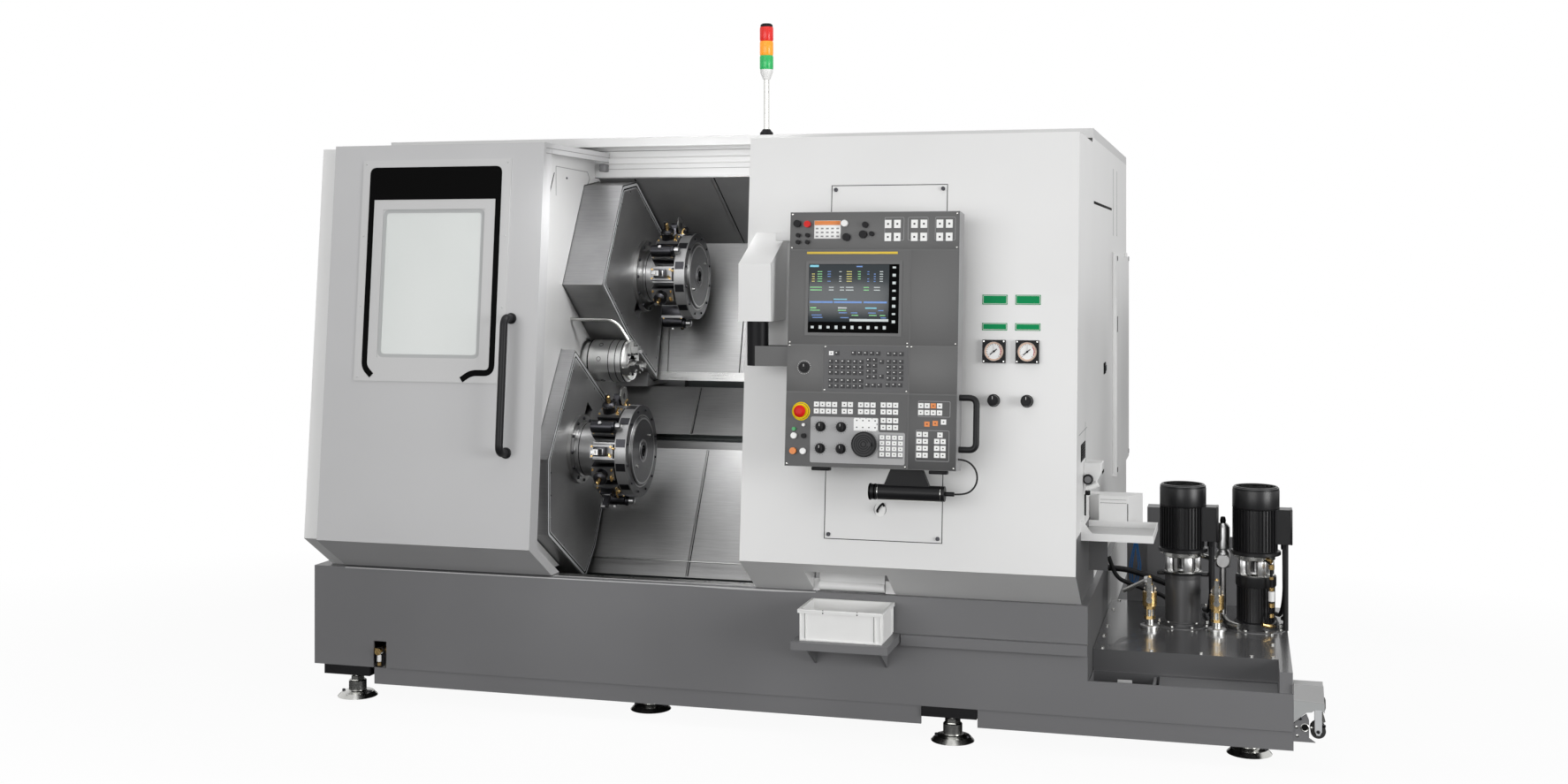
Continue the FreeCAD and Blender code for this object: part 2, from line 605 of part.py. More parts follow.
def carriage(name, outline, y, z, face, turn, toward, tongue, saddle):
    """Turret housing, the guide bars in it, the tongue through the covers and the saddle."""
    y_now = getattr(S, y)
    z_now = getattr(S, z)
    right = getattr(S, face)
    outer = prism_x(face + " - house_long", "house_long",
                    [("%s + (%d)" % (y, across), "%s + (%d)" % (z, up)) for across, up in outline])
    room = made(house_solid(outline, y_now, z_now, -S.skin, right - S.house_long + S.skin,
                            right - S.skin))
    near = S.arm_half + S.slot_clear
    ends = sorted([-toward * (S.cross_back + near), toward * (S.cross_travel + near)])
    slot = made(slanted(y_now, z_now, turn, right - S.skin - 1, right + 1, -near, near, *ends))
    bars = [made(slanted(y_now, z_now, turn, right - S.skin - 24, right - S.skin + 1, low, low + 30,
                         ends[0] - 20, ends[1] + 20)) for low in (near, -near - 30)]
    shell = fuse(cut(outer, room, slot), *bars)
    keep(name, fuse(shell, tongue, saddle))


def turret_arm(name, y, z, face, turn, flange_r, neck_long):
    """Slide block, arm through the slot, flange and the neck that the turret turns in."""
    y_now = getattr(S, y)
    z_now = getattr(S, z)
    right = getattr(S, face)
    behind = right - S.skin - 24 - S.seat_gap
    side = S.arm_half + S.slot_clear + 30
    block_shape = slanted(y_now, z_now, turn, right - S.arm_deep, behind, -side, side, -side, side)
    half = S.arm_half
    arm = slanted(y_now, z_now, turn, behind - 1, right + 1, -half, half, -half, half)
    slide = made(block_shape.fuse(arm))
    flange = rod("x", face + " + seat_gap", y, z, flange_r, "flange_thick")
    neck = rod("x", face + " + seat_gap", y, z, "neck_r", "flange_thick + " + neck_long)
    end = face + " + seat_gap + flange_thick + " + neck_long
    bore = rod("x", end + " - neck_long", y, z, "hub_r + run_gap", "neck_long + 1")
    keep(name, cut(fuse(slide, flange, neck), bore))


def turret(name, y, z, start, turn):
    """Twelve-sided drum with its hub, tool disc and cap."""
    hub = rod("x", "(%s) - neck_long + 2" % start, y, z, "hub_r", "neck_long")
    drum = doc.addObject("Part::Prism", "Drum")
    drum.Polygon = 12
    bind(drum, "Circumradius", "drum_r")
    bind(drum, "Height", "drum_long")
    drum.Placement.Rotation = FreeCAD.Rotation(X_AXIS, turn + 15) * FreeCAD.Rotation(Y_AXIS, 90)
    put(drum, start, y, z)
    disc = rod("x", "(%s) + drum_long" % start, y, z, "disc_r", "disc_thick")
    cap = rod("x", "(%s) + drum_long + disc_thick" % start, y, z, "cap_r", "cap_thick")
    bore = rod("x", "(%s) + drum_long" % start, y, z, "bore_r", "disc_thick + cap_thick + 1")
    keep(name, cut(fuse(hub, drum, disc, cap), bore))


def tool(kind):
    """A holder and its tool on the flat that faces up, from the drum's left end."""
    flat = S.drum_r * math.cos(math.pi / 12)
    last = S.drum_long - 8
    top = S.holder_r
    reach = S.tool_reach
    holder = solid_box(8, last, -25, 25, flat, top)
    if kind == "turning":
        holder = holder.fuse(solid_box(30, last - 22, -17, 17, top - 1, top + 22))
        shank = solid_box(46, 66, -10, 10, top + 15, reach - 6)
        return holder.fuse(shank).fuse(solid_box(40, 56, -6, 6, reach - 16, reach))
    if kind == "boring":
        middle = top + 14
        holder = holder.fuse(solid_rod(12, 0, middle, 24, last - 16, X_AXIS))
        return holder.fuse(solid_rod(last - 8, 0, middle + 6, 9, 30, X_AXIS))
    if kind == "driven":
        holder = holder.fuse(solid_rod(last / 2, 0, top - 1, 24, 30, Z_AXIS))
        return holder.fuse(solid_rod(last / 2, 0, top + 20, 7, reach - top - 20, Z_AXIS))
    holder = holder.fuse(solid_rod(last / 2, 0, top - 1, 20, 26, Z_AXIS))
    holder = holder.fuse(solid_rod(last / 2 - 14, 0, top + 36, 9, 34, X_AXIS))
    holder = holder.fuse(solid_box(last / 2 - 10, last / 2 + 10, -9, 9, top + 20, top + 36))
    return holder.fuse(solid_rod(last / 2 + 18, 0, top + 36, 34, 3, X_AXIS))


KINDS = ["turning", "saw", "driven", "boring", "turning", "driven", "turning", "boring", "driven",
         "turning", "boring", "turning"]


def tooling(name, y, z, start, turn, blank):
    shapes = []
    for i, kind in enumerate(KINDS):
        if i == blank:
            continue
        shape = tool(kind).removeSplitter()
        shape.rotate(V(0, 0, 0), X_AXIS, turn + 30 * i)
        shape.translate(V(start, y, z))
        shapes.append(made(shape))
    keep(name, *shapes)


def upper_unit():
    turn = -math.degrees(math.atan2(S.slope_y, S.slope_z))
    low = "mid_top_z + wall_gap"
    saddle_y = "high_way_y - way_thick - seat_gap"
    tongue = prism_x("tongue_left", "upper_face - tongue_left - 20", [
        ("high_foot_y - 80", low), (saddle_y + " - saddle_deep / 2", low),
        (saddle_y + " - saddle_deep / 2", low + " + tongue_high"),
        ("high_foot_y - 7", low + " + tongue_high"), ("high_foot_y - 18", "high_foot_z + 10"),
        ("high_foot_y - 30", "high_foot_z + 28"), ("high_foot_y - 80", "high_foot_z + 38")])
    saddle = block("upper_face + 60 - saddle_long", "upper_face + 60", saddle_y + " - saddle_deep",
                   saddle_y, "high_way_z - 20", "high_way_z + way_pitch + way_wide + 10")
    carriage("upper_carriage", UPPER_HOUSE, "upper_y", "upper_z", "upper_face", turn, -1, tongue,
             saddle)
    turret_arm("upper_turret_arm", "upper_y", "upper_z", "upper_face", turn, "flange_r",
               "neck_long")
    start = "upper_face + 2 * seat_gap + flange_thick + neck_long"
    turret("upper_turret", "upper_y", "upper_z", start, turn)
    place = S.upper_face + 2 * S.seat_gap + S.flange_thick + S.neck_long
    tooling("upper_tooling", S.upper_y, S.upper_z, place, turn, 6)


def lower_unit():
    turn = -math.degrees(math.atan2(S.low_slope_y, S.low_slope_z))
    low = "slot_two + wall_gap + 1"
    saddle_y = "low_way_y - way_thick - seat_gap"
    tongue = block("tongue_left", "lower_face - 5", "mid_foot_y - 65",
                   saddle_y + " - saddle_deep / 2", low, low + " + tongue_high")
    saddle = block("lower_face + 60 - saddle_long", "lower_face + 60", saddle_y + " - saddle_deep",
                   saddle_y, "low_way_z - 20", "low_way_z + way_pitch + way_wide + 30")
    carriage("lower_carriage", LOWER_HOUSE, "lower_y", "lower_z", "lower_face", turn, 1, tongue,
             saddle)
    turret_arm("lower_turret_arm", "lower_y", "lower_z", "lower_face", turn, "lower_flange_r",
               "neck_long + lower_neck_more")
    start = "lower_face + 2 * seat_gap + flange_thick + neck_long + lower_neck_more"
    turret("lower_turret", "lower_y", "lower_z", start, turn)
    place = S.lower_face + 2 * S.seat_gap + S.flange_thick + S.neck_long + S.lower_neck_more
    tooling("lower_tooling", S.lower_y, S.lower_z, place, turn, 0)


# Covers inside the working area.

def sheet_strip(y0, z0, y1, z1, end):
    return prism_x("wall_x + skin", end + " - wall_x - skin", [
        (y0, z0), (y1, z1), (y1 + " + skin", z1), (y0 + " + skin", z0)])


def back_panels():
    low = sheet_strip("pan_foot_y", "pan_foot_z", "pan_top_y", "pan_top_z", "pan_end")
    band = sheet_strip("pan_top_y", "pan_top_z", "pan_top_y", "slot_two", "pan_end")
    mid = sheet_strip("mid_foot_y", "mid_foot_z", "mid_top_y", "mid_top_z", "mid_end")
    high = sheet_strip("high_foot_y", "high_foot_z", "high_top_y", "high_top_z", "pan_end")
    sky = prism_x("wall_x + skin", "pan_end - wall_x - skin", [
        ("high_top_y", "high_top_z"), ("sky_y", "sky_z"), ("sky_y", "sky_z + 1.2 * skin"),
        ("high_top_y + skin", "high_top_z + 1.2 * skin"), ("high_top_y + skin", "high_top_z")])
    rail = prism_x("wall_x + skin", "pan_end - wall_x - skin", [
        ("high_foot_y - 2 * skin", "high_foot_z"), ("high_foot_y", "high_foot_z"),
        ("high_foot_y + 0.283 * rail_wide", "high_foot_z + rail_wide"),
        ("high_foot_y + 0.283 * rail_wide - 2 * skin", "high_foot_z + rail_wide")])
    strip = block("door_right + 2", "cover_left - 2", "sill_depth - 50", "sill_depth",
                  "base_height", "base_height + foot_clear * 0.6")
    keep("back_panels", fuse(low, band), mid, fuse(high, sky, rail), strip)


def inner_wall():
    top = "front_top - 24"
    outline = [("front_bottom_y + skin_inset + skin", "front_bottom"),
               (lean_y(top) + " + skin_inset + skin", top), ("beam_y - 30", top),
               ("beam_y - 30", "sky_z"), ("sky_y", "sky_z"),
               ("high_top_y + skin", "high_top_z"), ("high_foot_y + skin", "high_foot_z"),
               ("mid_top_y + skin", "mid_top_z"), ("mid_foot_y + skin", "mid_foot_z"),
               ("pan_top_y + skin", "slot_two"), ("pan_top_y + skin", "pan_top_z"),
               ("pan_foot_y + skin + 32", "door_foot"),
               ("chamfer_foot_y + skin_inset + 2 * skin", "door_foot")]
    sheet = prism_x("wall_x", "skin", outline)
    grow = S.wall_gap
    left = S.wall_x - 1
    right = S.wall_x + S.skin + 1
    upper = made(house_solid(UPPER_HOUSE, S.upper_y, S.upper_z, grow, left, right))
    lower = made(house_solid(LOWER_HOUSE, S.lower_y, S.lower_z, grow, left, right))
    nose = rod("x", "wall_x - 1", "spindle_y", "spindle_z", "spindle_r + wall_gap", "skin + 2")
    keep("inner_wall", cut(sheet, upper, lower, nose))


# Enclosure.

def left_cover():
    top = "front_top - 3 * skin"
    cheek = prism_x("left_end", "cheek_wide", front_skin("cheek_inset", top, "base_height"))
    inner = prism_x("left_end + cheek_wide", "wall_x - left_end - cheek_wide",
                    front_skin("skin_inset", top, "base_height"))
    side = prism_x("left_end", "skin", front_line("cheek_inset", top, "base_height") + [
        ("cabinet_front", "base_height"), ("cabinet_front", top)])
    step = prism_x("left_end + cheek_wide - skin", "skin",
                   front_line("cheek_inset", top, "base_height")
                   + front_line("skin_inset + 2 * skin", top, "base_height")[::-1])
    lid = prism_z(top + " - skin", "skin", [
        ("left_end", lean_y(top) + " + cheek_inset"),
        ("left_end + cheek_wide", lean_y(top) + " + cheek_inset"),
        ("left_end + cheek_wide", lean_y(top) + " + skin_inset"),
        ("wall_x", lean_y(top) + " + skin_inset"), ("wall_x", "cabinet_front"),
        ("left_end", "cabinet_front")])
    keep("left_cover", fuse(cheek, inner, side, step, lid))


def glass_hole(spread, y0, y1):
    return block("glass_left - (%s)" % spread, "glass_left + glass_wide + (%s)" % spread, y0, y1,
                 "glass_low - (%s)" % spread, "glass_low + glass_high + (%s)" % spread)


def door():
    outer = prism_x("door_left", "door_width", front_line("0", "front_top", "door_foot")
                    + front_line("door_deep", "front_top", "door_foot")[::-1])
    room = prism_x("door_left + skin", "door_width - 2 * skin", [
        (lean_y("front_top - skin") + " + skin", "front_top - skin"),
        ("front_bottom_y + skin", "front_bottom + 0.57 * skin"),
        ("chamfer_foot_y", "door_foot + 1.17 * skin"), ("cabinet_front", "door_foot + 1.17 * skin"),
        ("cabinet_front", "front_top - skin")])
    roof = block("door_left", "door_right", "front_top_y + skin", "door_roof_back",
                 "front_top - skin", "front_top")
    lip = block("door_right - skin", "door_right", "front_top_y + door_deep - 1", "beam_y - 24",
                "front_top - lip_high", "front_top - skin / 2")
    hooks = [block(x, x + " + flange", "beam_y - 14", "door_roof_back",
                   "hook_rail_top + seat_gap", "front_top - skin / 2")
             for x in ("door_left + skin", "door_right - skin - flange")]
    window = on_front(glass_hole("run_gap + seat_gap", "-10", "skin + 10"))
    keep("door_shell", cut(fuse(cut(outer, room), roof, lip, *hooks), window))
    plate = block("plate_left", "plate_left + plate_wide", "-plate_thick", "0", "plate_low",
                  "plate_low + plate_high")
    keep("window_frame", on_front(cut(plate, glass_hole("-glass_overlap", "-20", "20"))))
    keep("window_glass", on_front(glass_hole("0", "0", "glass_thick")))
    foot = "-grip_reach"
    tube = rod("z", "grip_x", foot, "grip_low", "grip_r", "grip_high")
    ends = [rod("y", "grip_x", foot, z, "grip_r * 0.9", "grip_reach")
            for z in ("grip_low + grip_r", "grip_low + grip_high - grip_r")]
    keep("door_handle", on_front(fuse(tube, *ends)))


def front_cover():
    outer = prism_x("cover_left", "cover_right - cover_left",
                    front_line("0", "front_top", "base_height")
                    + [("cabinet_front", "base_height"), ("cabinet_front", "front_top")])
    room = prism_x("cover_left + skin", "cover_right - cover_left - 2 * skin", [
        (lean_y("front_top - skin") + " + skin", "front_top - skin"),
        ("front_bottom_y + skin", "front_bottom + 0.57 * skin"),
        ("chamfer_foot_y + 1.9 * skin + 1.9", "base_height - 1"),
        ("cabinet_front + 1", "base_height - 1"), ("cabinet_front + 1", "front_top - skin")])
    doorway = prism_x("cover_left - 1", "skin + 2",
                      front_line("flange", "front_top - skin", "base_height - 1")
                      + [("cabinet_front + 1", "base_height - 1"),
                         ("cabinet_front + 1", "front_top - skin")])
    chute = block("chute_left", "chute_left + chute_wide", "chute_y", "chamfer_foot_y + 20",
                  "base_height - 1", "front_bottom + 1")
    cheek = [("chute_y", "chute_top"), ("chute_y", "chute_top + flap_eye_r + 9"),
             ("chamfer_foot_y + 20", "chute_top + flap_eye_r + 9"),
             ("chamfer_foot_y + 20", "base_height + skin"),
             ("chamfer_foot_y - 1.58 * skin", "base_height + skin")]
    cheeks = [prism_x(x, "skin", cheek) for x in ("chute_left - skin", "chute_left + chute_wide")]
    pin = rod("x", "chute_left - skin", "flap_y", "base_height + flap_top", "flap_pin_r",
              "chute_wide + 2 * skin")
    corners = [block(x, x + wide, "flap_y + 4", "flap_y + 4 + skin", "base_height + skin",
                     "base_height + flap_low + 9")
               for x, wide in (("chute_left - skin", " + skin + flap_left - 2"),
                               ("chute_left + chute_wide - flap_right + 2",
                                " + flap_right - 2 + skin"))]
    edge = "hatch_gap"
    pocket = on_front(block("hatch_left - " + edge, "hatch_left + hatch_wide + " + edge, "-1",
                            "hatch_thick + seat_gap", "hatch_low - " + edge,
                            "hatch_low + hatch_high + " + edge))
    shell = cut(outer, room, doorway, chute, pocket)
    keep("front_cover", fuse(shell, *cheeks, *corners, pin))


def gauge_row(shape_for):
    return [shape_for("gauge_x + %d * gauge_pitch" % i) for i in range(2)]


def cover_plates():
    hatch = block("hatch_left", "hatch_left + hatch_wide", "0", "hatch_thick", "hatch_low",
                  "hatch_low + hatch_high")
    signs = [block(x + " - sign_wide / 2", x + " + sign_wide / 2", "-1.2", "0", low, low + " + "
                   + high)
             for x in ("gauge_x", "gauge_x + gauge_pitch")
             for low, high in (("sign_low", "sign_high"), ("sign_low - sign_drop",
                                                           "sign_high * 0.75"))]
    keep("cover_plates", on_front(hatch, *signs))


def gauges():
    def case(x):
        body = block(x + " - gauge_side / 2", x + " + gauge_side / 2", "-gauge_thick", "0",
                     "gauge_low", "gauge_low + gauge_side")
        middle = "gauge_low + gauge_side / 2"
        dial = rod("y", x, "-gauge_thick - 1", middle, "gauge_side * 0.43", "5")
        hub = rod("y", x, "-gauge_thick + 1", middle, "3.5", "6")
        needle = block(x + " - 1.2", x + " + 1.2", "-gauge_thick + 2", "-gauge_thick + 5", middle,
                       middle + " + gauge_side * 0.36")
        return fuse(cut(body, dial), hub, needle)

    keep("gauge_cases", on_front(*gauge_row(case)))
    for i in range(2):
        x = "gauge_x + %d * gauge_pitch" % i
        knob = fuse(rod("y", x, "-34", "regulator_low", "regulator_r * 0.85", "34 - seat_gap"),
                    rod("y", x, "-30", "regulator_low", "regulator_r", "16"))
        keep("regulator_knob_%d" % (i + 1), on_front(knob))


def chute_flap():
    left = "chute_left + flap_left"
    wide = "chute_wide - flap_left - flap_right"
    eye_z = "base_height + flap_top"
    plate = block(left, left + " + " + wide, "flap_y", "flap_y + skin",
                  "base_height + flap_low - 4", eye_z)
    eye = rod("x", left, "flap_y", eye_z, "flap_eye_r", wide)
    roll = rod("x", left, "flap_y + 2", "base_height + flap_low - flap_roll_r", "flap_roll_r",
               wide)
    bore = rod("x", left + " - 1", "flap_y", eye_z, "flap_pin_r + run_gap", wide + " + 2")
    keep("chute_flap", cut(fuse(plate, eye, roll), bore))


def roof_panel():
    tray = block("left_end", "cover_right", "cabinet_front", "cabinet_back", "roof_low",
                 "roof_top")
    room = block("left_end + skin", "cover_right - skin", "cabinet_front + skin",
                 "cabinet_back - skin", "roof_low - 1", "roof_top - skin")
    beam = block("left_end + skin", "cover_right - skin", "beam_y", "beam_y + beam_deep",
                 "beam_low", "roof_top - skin / 2")
    lip = block("left_end + skin", "cover_right - skin", "beam_y - 20", "beam_y",
                "hook_rail_top - 22", "hook_rail_top")
    keep("roof_panel", fuse(cut(tray, room), beam, lip))


def cabinet_shell():
    left = block("left_end", "left_end + skin", "cabinet_front", "cabinet_back", "base_height",
                 "roof_low")
    rear = block("left_end", "cover_right", "cabinet_back - skin", "cabinet_back", "base_height",
                 "roof_low")
    right = block("cover_right - skin", "cover_right", "cabinet_front", "cabinet_back",
                  "base_height", "roof_low")
    hole = block("cover_right - skin - 1", "cover_right + 1", "side_door_y + 30",
                 "side_door_y + side_door_wide - 30", "side_door_low + 30",
                 "side_door_low + side_door_high - 30")
    keep("cabinet_shell", cut(fuse(left, rear, right), hole))
    panel = block("cover_right + seat_gap", "cover_right + seat_gap + side_door_thick",
                  "side_door_y", "side_door_y + side_door_wide", "side_door_low",
                  "side_door_low + side_door_high")
    rear_room = block("cover_right", "cover_right + seat_gap + side_door_thick - skin",
                      "side_door_y + skin", "side_door_y + side_door_wide - skin",
                      "side_door_low + skin", "side_door_low + side_door_high - skin")
    keep("service_door", cut(panel, rear_room))


# Side shelf, signal tower.

def shelf():
    z0 = "(shelf_top - shelf_lip)"
    right = "(cover_right + shelf_reach)"
    floor = block("cover_right", right, "0", "shelf_deep", z0, z0 + " + skin")
    lip = block("cover_right", right, "0", "skin", z0, "shelf_top")
    side = block(right + " - skin", right, "0", "shelf_deep", z0, "shelf_top")
    back = block("cover_right", right, "shelf_deep - skin", "shelf_deep", z0, "shelf_top")
    gusset = prism_y("0", "skin", [
        ("cover_right", "shelf_top - 1"), ("cover_right + gusset_wide", "shelf_top - 1"),
        ("cover_right + 5", "shelf_top + gusset_high"),
        ("cover_right", "shelf_top + gusset_high")])
    column_x = "cover_right + column_left"
    far = "shelf_deep + column_deep"
    column = prism_z(z0, "shelf_lip + column_high", [
        (column_x, "shelf_deep - skin / 2"),
        (column_x + " + column_wide", "shelf_deep - skin / 2"),
        (column_x + " + column_wide + column_slant", far), (column_x, far)])
    strip = block("cover_right", column_x + " + 1", "shelf_deep + column_deep / 2", far,
                  z0, "shelf_top + column_high")
    plate = prism_y("shelf_deep - skin", "skin", [
        ("cover_right", z0 + " - column_drop"), ("cover_right", z0 + " - 45"),
        ("cover_right + 14", z0 + " + 1"), ("cover_right + plate_reach", z0 + " + 1"),
        ("cover_right + plate_reach", z0 + " - column_drop")])
    keep("shelf", fuse(floor, lip, side, back, gusset, column, strip, plate))


def signal_tower():
    parts = [cone("z", "tower_x", "tower_y", "roof_top", "pole_r * 2.4", "pole_r * 1.2", "24")]
    lens_low = "tower_top - 3 * lens_high - 12"
    parts.append(rod("z", "tower_x", "tower_y", "roof_top", "pole_r",
                     lens_low + " - lens_r - roof_top"))
    parts.append(cone("z", "tower_x", "tower_y", lens_low + " - lens_r * 1.4", "pole_r * 1.2",
                      "lens_r", "lens_r * 1.4"))
    stack = fuse(*parts)
    lenses = [rod("z", "tower_x", "tower_y", "%s + %d * lens_high" % (lens_low, i), "lens_r",
                  "lens_high") for i in range(3)]
    cap = cone("z", "tower_x", "tower_y", "tower_top - 12", "lens_r", "lens_r * 0.8", "12")
    keep("signal_tower", stack, *(lenses + [cap]))


# Coolant tank, pumps and pipes on the right.

def coolant_tank():
    right = "base_length - tank_post"
    left = "body_length + 2"
    box = block(left, right, "tank_front", "tank_back", "floor_top", "deck_top - skin")
    room = block(left + " + skin", right + " - skin", "tank_front + skin", "tank_back - skin",
                 "floor_top + skin", "deck_top")
    trough = block(left, right, "base_plate + 1", "tank_front + 1", "floor_top", "trough_top - 6")
    trough_room = block(left + " + skin", right + " - skin", "base_plate + 1 + skin",
                        "tank_front - skin", "floor_top + skin", "trough_top")
    post = block(right + " - 1", "base_length - 2", "base_plate + 1", "tank_back", "floor_top",
                 "deck_top")
    baffle = block("body_length + 210", "body_length + 210 + skin", "base_plate + 2", "tank_front",
                   "floor_top", "trough_top - 30")
    chute = prism_y("tank_front - 120", "100", [
        ("body_length + 300", "floor_top + 1"), ("body_length + 460", "floor_top + 1"),
        ("body_length + 460", "trough_top - 20")])
    tank = fuse(cut(box, room), cut(trough, trough_room), post, baffle, chute)
    deck = block(left, right + " - 1 - seat_gap", "tank_front", "tank_back", "deck_top - skin",
                 "deck_top")
    wall = block(left + " + 60", right + " - 1 - seat_gap", "tank_back - 2 * skin", "tank_back",
                 "deck_top - skin / 2", "deck_top + wall_high")
    hood = block(left + " + 142", left + " + 250", "tank_back - 90", "tank_back",
                 "deck_top - skin / 2", "deck_top + hood_high")
    deck = fuse(deck, wall, hood)
    holes = [rod("z", x, "pump_y", "deck_top - skin - 1", "pump_body_r * 0.8", "skin + 2")
             for x in ("pump_x", "pump_two")]
    keep("coolant_tank", tank, cut(deck, *holes))


def pump(x):
    foot = rod("z", x, "pump_y", "deck_top", "pump_body_r * 1.25", "14")
    body = rod("z", x, "pump_y", "deck_top", "pump_body_r", "pump_body_high")
    waist = rod("z", x, "pump_y", "deck_top + pump_body_high - 1", "lantern_r * 0.62",
                "lantern_high + 1 - 12")
    ring = rod("z", x, "pump_y", "motor_low - 12", "lantern_r", "12")
    base = rod("z", x, "pump_y", "deck_top + pump_body_high - 14", "lantern_r", "14")
    bore = rod("z", x, "pump_y", "deck_top + 20", "shaft_r + run_gap", "motor_low - deck_top")
    socket = rod("y", x, "pump_y", "deck_top + 85", "hose_r + 5", "pump_body_r + 14")
    window = block(x + " - shaft_r * 1.6", x + " + shaft_r * 1.6", "pump_y - lantern_r - 1",
                   "pump_y + lantern_r + 1", "deck_top + pump_body_high + 14", "motor_low - 24")
    return cut(fuse(foot, body, waist, ring, base, socket), bore, window)


def motor(x):
    body = rod("z", x, "pump_y", "motor_low", "motor_r * 0.94", "motor_high")
    cap = rod("z", x, "pump_y", "motor_low + motor_high * 0.68", "motor_r", "motor_high * 0.3")
    foot = rod("z", x, "pump_y", "motor_low", "motor_r * 0.8", "14")
    box = block(x + " + motor_r * 0.7", x + " + motor_r + 44", "pump_y - 36", "pump_y + 36",
                "motor_low + 40", "motor_low + 165")
    bore = rod("z", x, "pump_y", "motor_low - 1", "shaft_r + run_gap", "60")
    leads = [rod("z", x + " + motor_r + 22", "pump_y + (%d) * conduit_r" % side,
                 "deck_top + seat_gap", "conduit_r", "motor_low + 41 - deck_top - seat_gap")
             for side in (-2, 1)]
    return cut(fuse(body, cap, foot, box, *leads), bore)


def pumps():
    keep("coolant_pumps", pump("pump_x"), pump("pump_two"), motor("pump_x"), motor("pump_two"))
    for i, x in enumerate(("pump_x", "pump_two")):
        shaft = rod("z", x, "pump_y", "deck_top + 24", "shaft_r", "motor_low + 50 - deck_top - 24")
        keep("pump_shaft_%d" % (i + 1), shaft)


def valve(x, y):
    """A standing pipe with a ball valve and an outlet elbow."""
    stand = rod("z", x, y, "deck_top", "pipe_r", "160")
    nut = rod("z", x, y, "deck_top + 84", "pipe_r * 1.5", "50")
    flange_ring = rod("z", x, y, "deck_top", "pipe_r * 1.9", "8")
    branch = rod("y", x, y, "deck_top + 140", "pipe_r * 0.8", "56")
    return fuse(stand, nut, flange_ring, branch)


def coolant_pipes():
    valves = [valve(x, "pump_y - 108") for x in ("pump_x - 114", "pump_two - 136")]
    drain = fuse(rod("y", "skirt_start + drain_wide / 2", "-16", "plate_bottom + 62", "13", "60"),
                 rod("z", "skirt_start + drain_wide / 2", "skirt_inset + base_plate + 16",
                     "plate_bottom - 40", "13", "112"))
    bracket = block("skirt_start - 8", "skirt_start + drain_wide + 8", "base_plate",
                    "base_plate + 5", "plate_bottom + 54", "plate_bottom + 70")
    drain = fuse(drain, bracket)
    start = V(S.wall_x + S.skin, 340, 1430)
    points = [start, V(1085, 340, 1430), V(1138, 340, 1352)]
    keep("coolant_pipes", cord_tube("bent coolant pipe", points, 7), *(valves + [drain]))
    for i, x in enumerate(("pump_x - 114", "pump_two - 136")):
        y = "pump_y - 108 - pipe_r * 1.5 - seat_gap"
        hub = rod("y", x, y + " - 14", "deck_top + 109", "11", "14")
        bar = block(x + " - 8", x + " + 8", y + " - 14", y + " - 9", "deck_top + 109",
                    "deck_top + 190")
        keep("valve_lever_%d" % (i + 1), fuse(hub, bar))


def coolant_hose():
    y = S.pump_y + S.pump_body_r + 14
    z = S.deck_top + 85
    x = S.body_length
    points = [V(x, y + 154, z + 67), V(x + 58, y + 154, z + 67), V(x + 128, y + 154, z + 50),
              V(x + 198, y + 154, z + 25), V(x + 255, y + 121, z + 10),
              V(S.pump_x, y + 65, z), V(S.pump_x, y, z)]
    keep("coolant_hose", cord_tube("coolant hose", points, S.hose_r))


def end_bracket():
    left = "base_length"
    outline = [
        (left, "284"), (left + " + 92", "284"), (left + " + 96", "198"), (left + " + 88", "204"),
        (left + " + 86", "204"), (left + " + 86", "137"), (left + " + 80", "125"),
        (left + " + 71", "125"), (left + " + 66", "137"), (left + " + 66", "206"),
        (left + " + 56", "198"), (left + " + 40", "196"), (left, "162")]
    plate = prism_y("0", "6", outline)
    plate_two = prism_y("roller_wide + 10", "6", outline)
    web = block(left, left + " + 8", "0", "roller_wide + 16", "172", "284")
    lid = block(left, left + " + 91", "0", "roller_wide + 16", "278", "284")
    pin = rod("y", "base_length + roller_out", "0", "137", "7", "roller_wide + 16")
    keep("end_bracket", fuse(plate, plate_two, web, lid, pin))
    roller = cut(rod("y", "base_length + roller_out", "6 + 1", "137", "roller_r", "roller_wide + 2"),
                 rod("y", "base_length + roller_out", "0", "137", "7 + run_gap", "roller_wide + 16"))
    keep("roller", roller)


# Control pendant.

def pendant_bracket():
    high = "bracket_low + bracket_high"
    body = prism_x("pivot_x - 56", "112", [
        ("pivot_y - pivot_r - 4", "bracket_low"), (lean_y("bracket_low"), "bracket_low"),
        (lean_y(high), high), ("pivot_y - pivot_r - 4", high + " - bracket_high * 0.36")])
    pin = rod("z", "pivot_x", "pivot_y", "arm_low + 10", "pin_r", "bracket_low - arm_low")
    keep("pendant_bracket", fuse(body, pin))


def pendant_arm():
    top = "bracket_low - seat_gap"
    post = rod("z", "pivot_x", "pivot_y", "arm_low", "pivot_r", top + " - arm_low")
    arm = block("pivot_x", "pendant_x + 4", "pivot_y - pivot_r", "pivot_y + pivot_r", "arm_low",
                "arm_low + arm_high")
    bore = rod("z", "pivot_x", "pivot_y", "arm_low + 9", "pin_r + run_gap",
               "bracket_low - arm_low + 2")
    side = on_pendant(block("0", "20", "0", "pendant_deep", "0", "pendant_high"))
    keep("pendant_arm", cut(fuse(post, arm), bore, side))


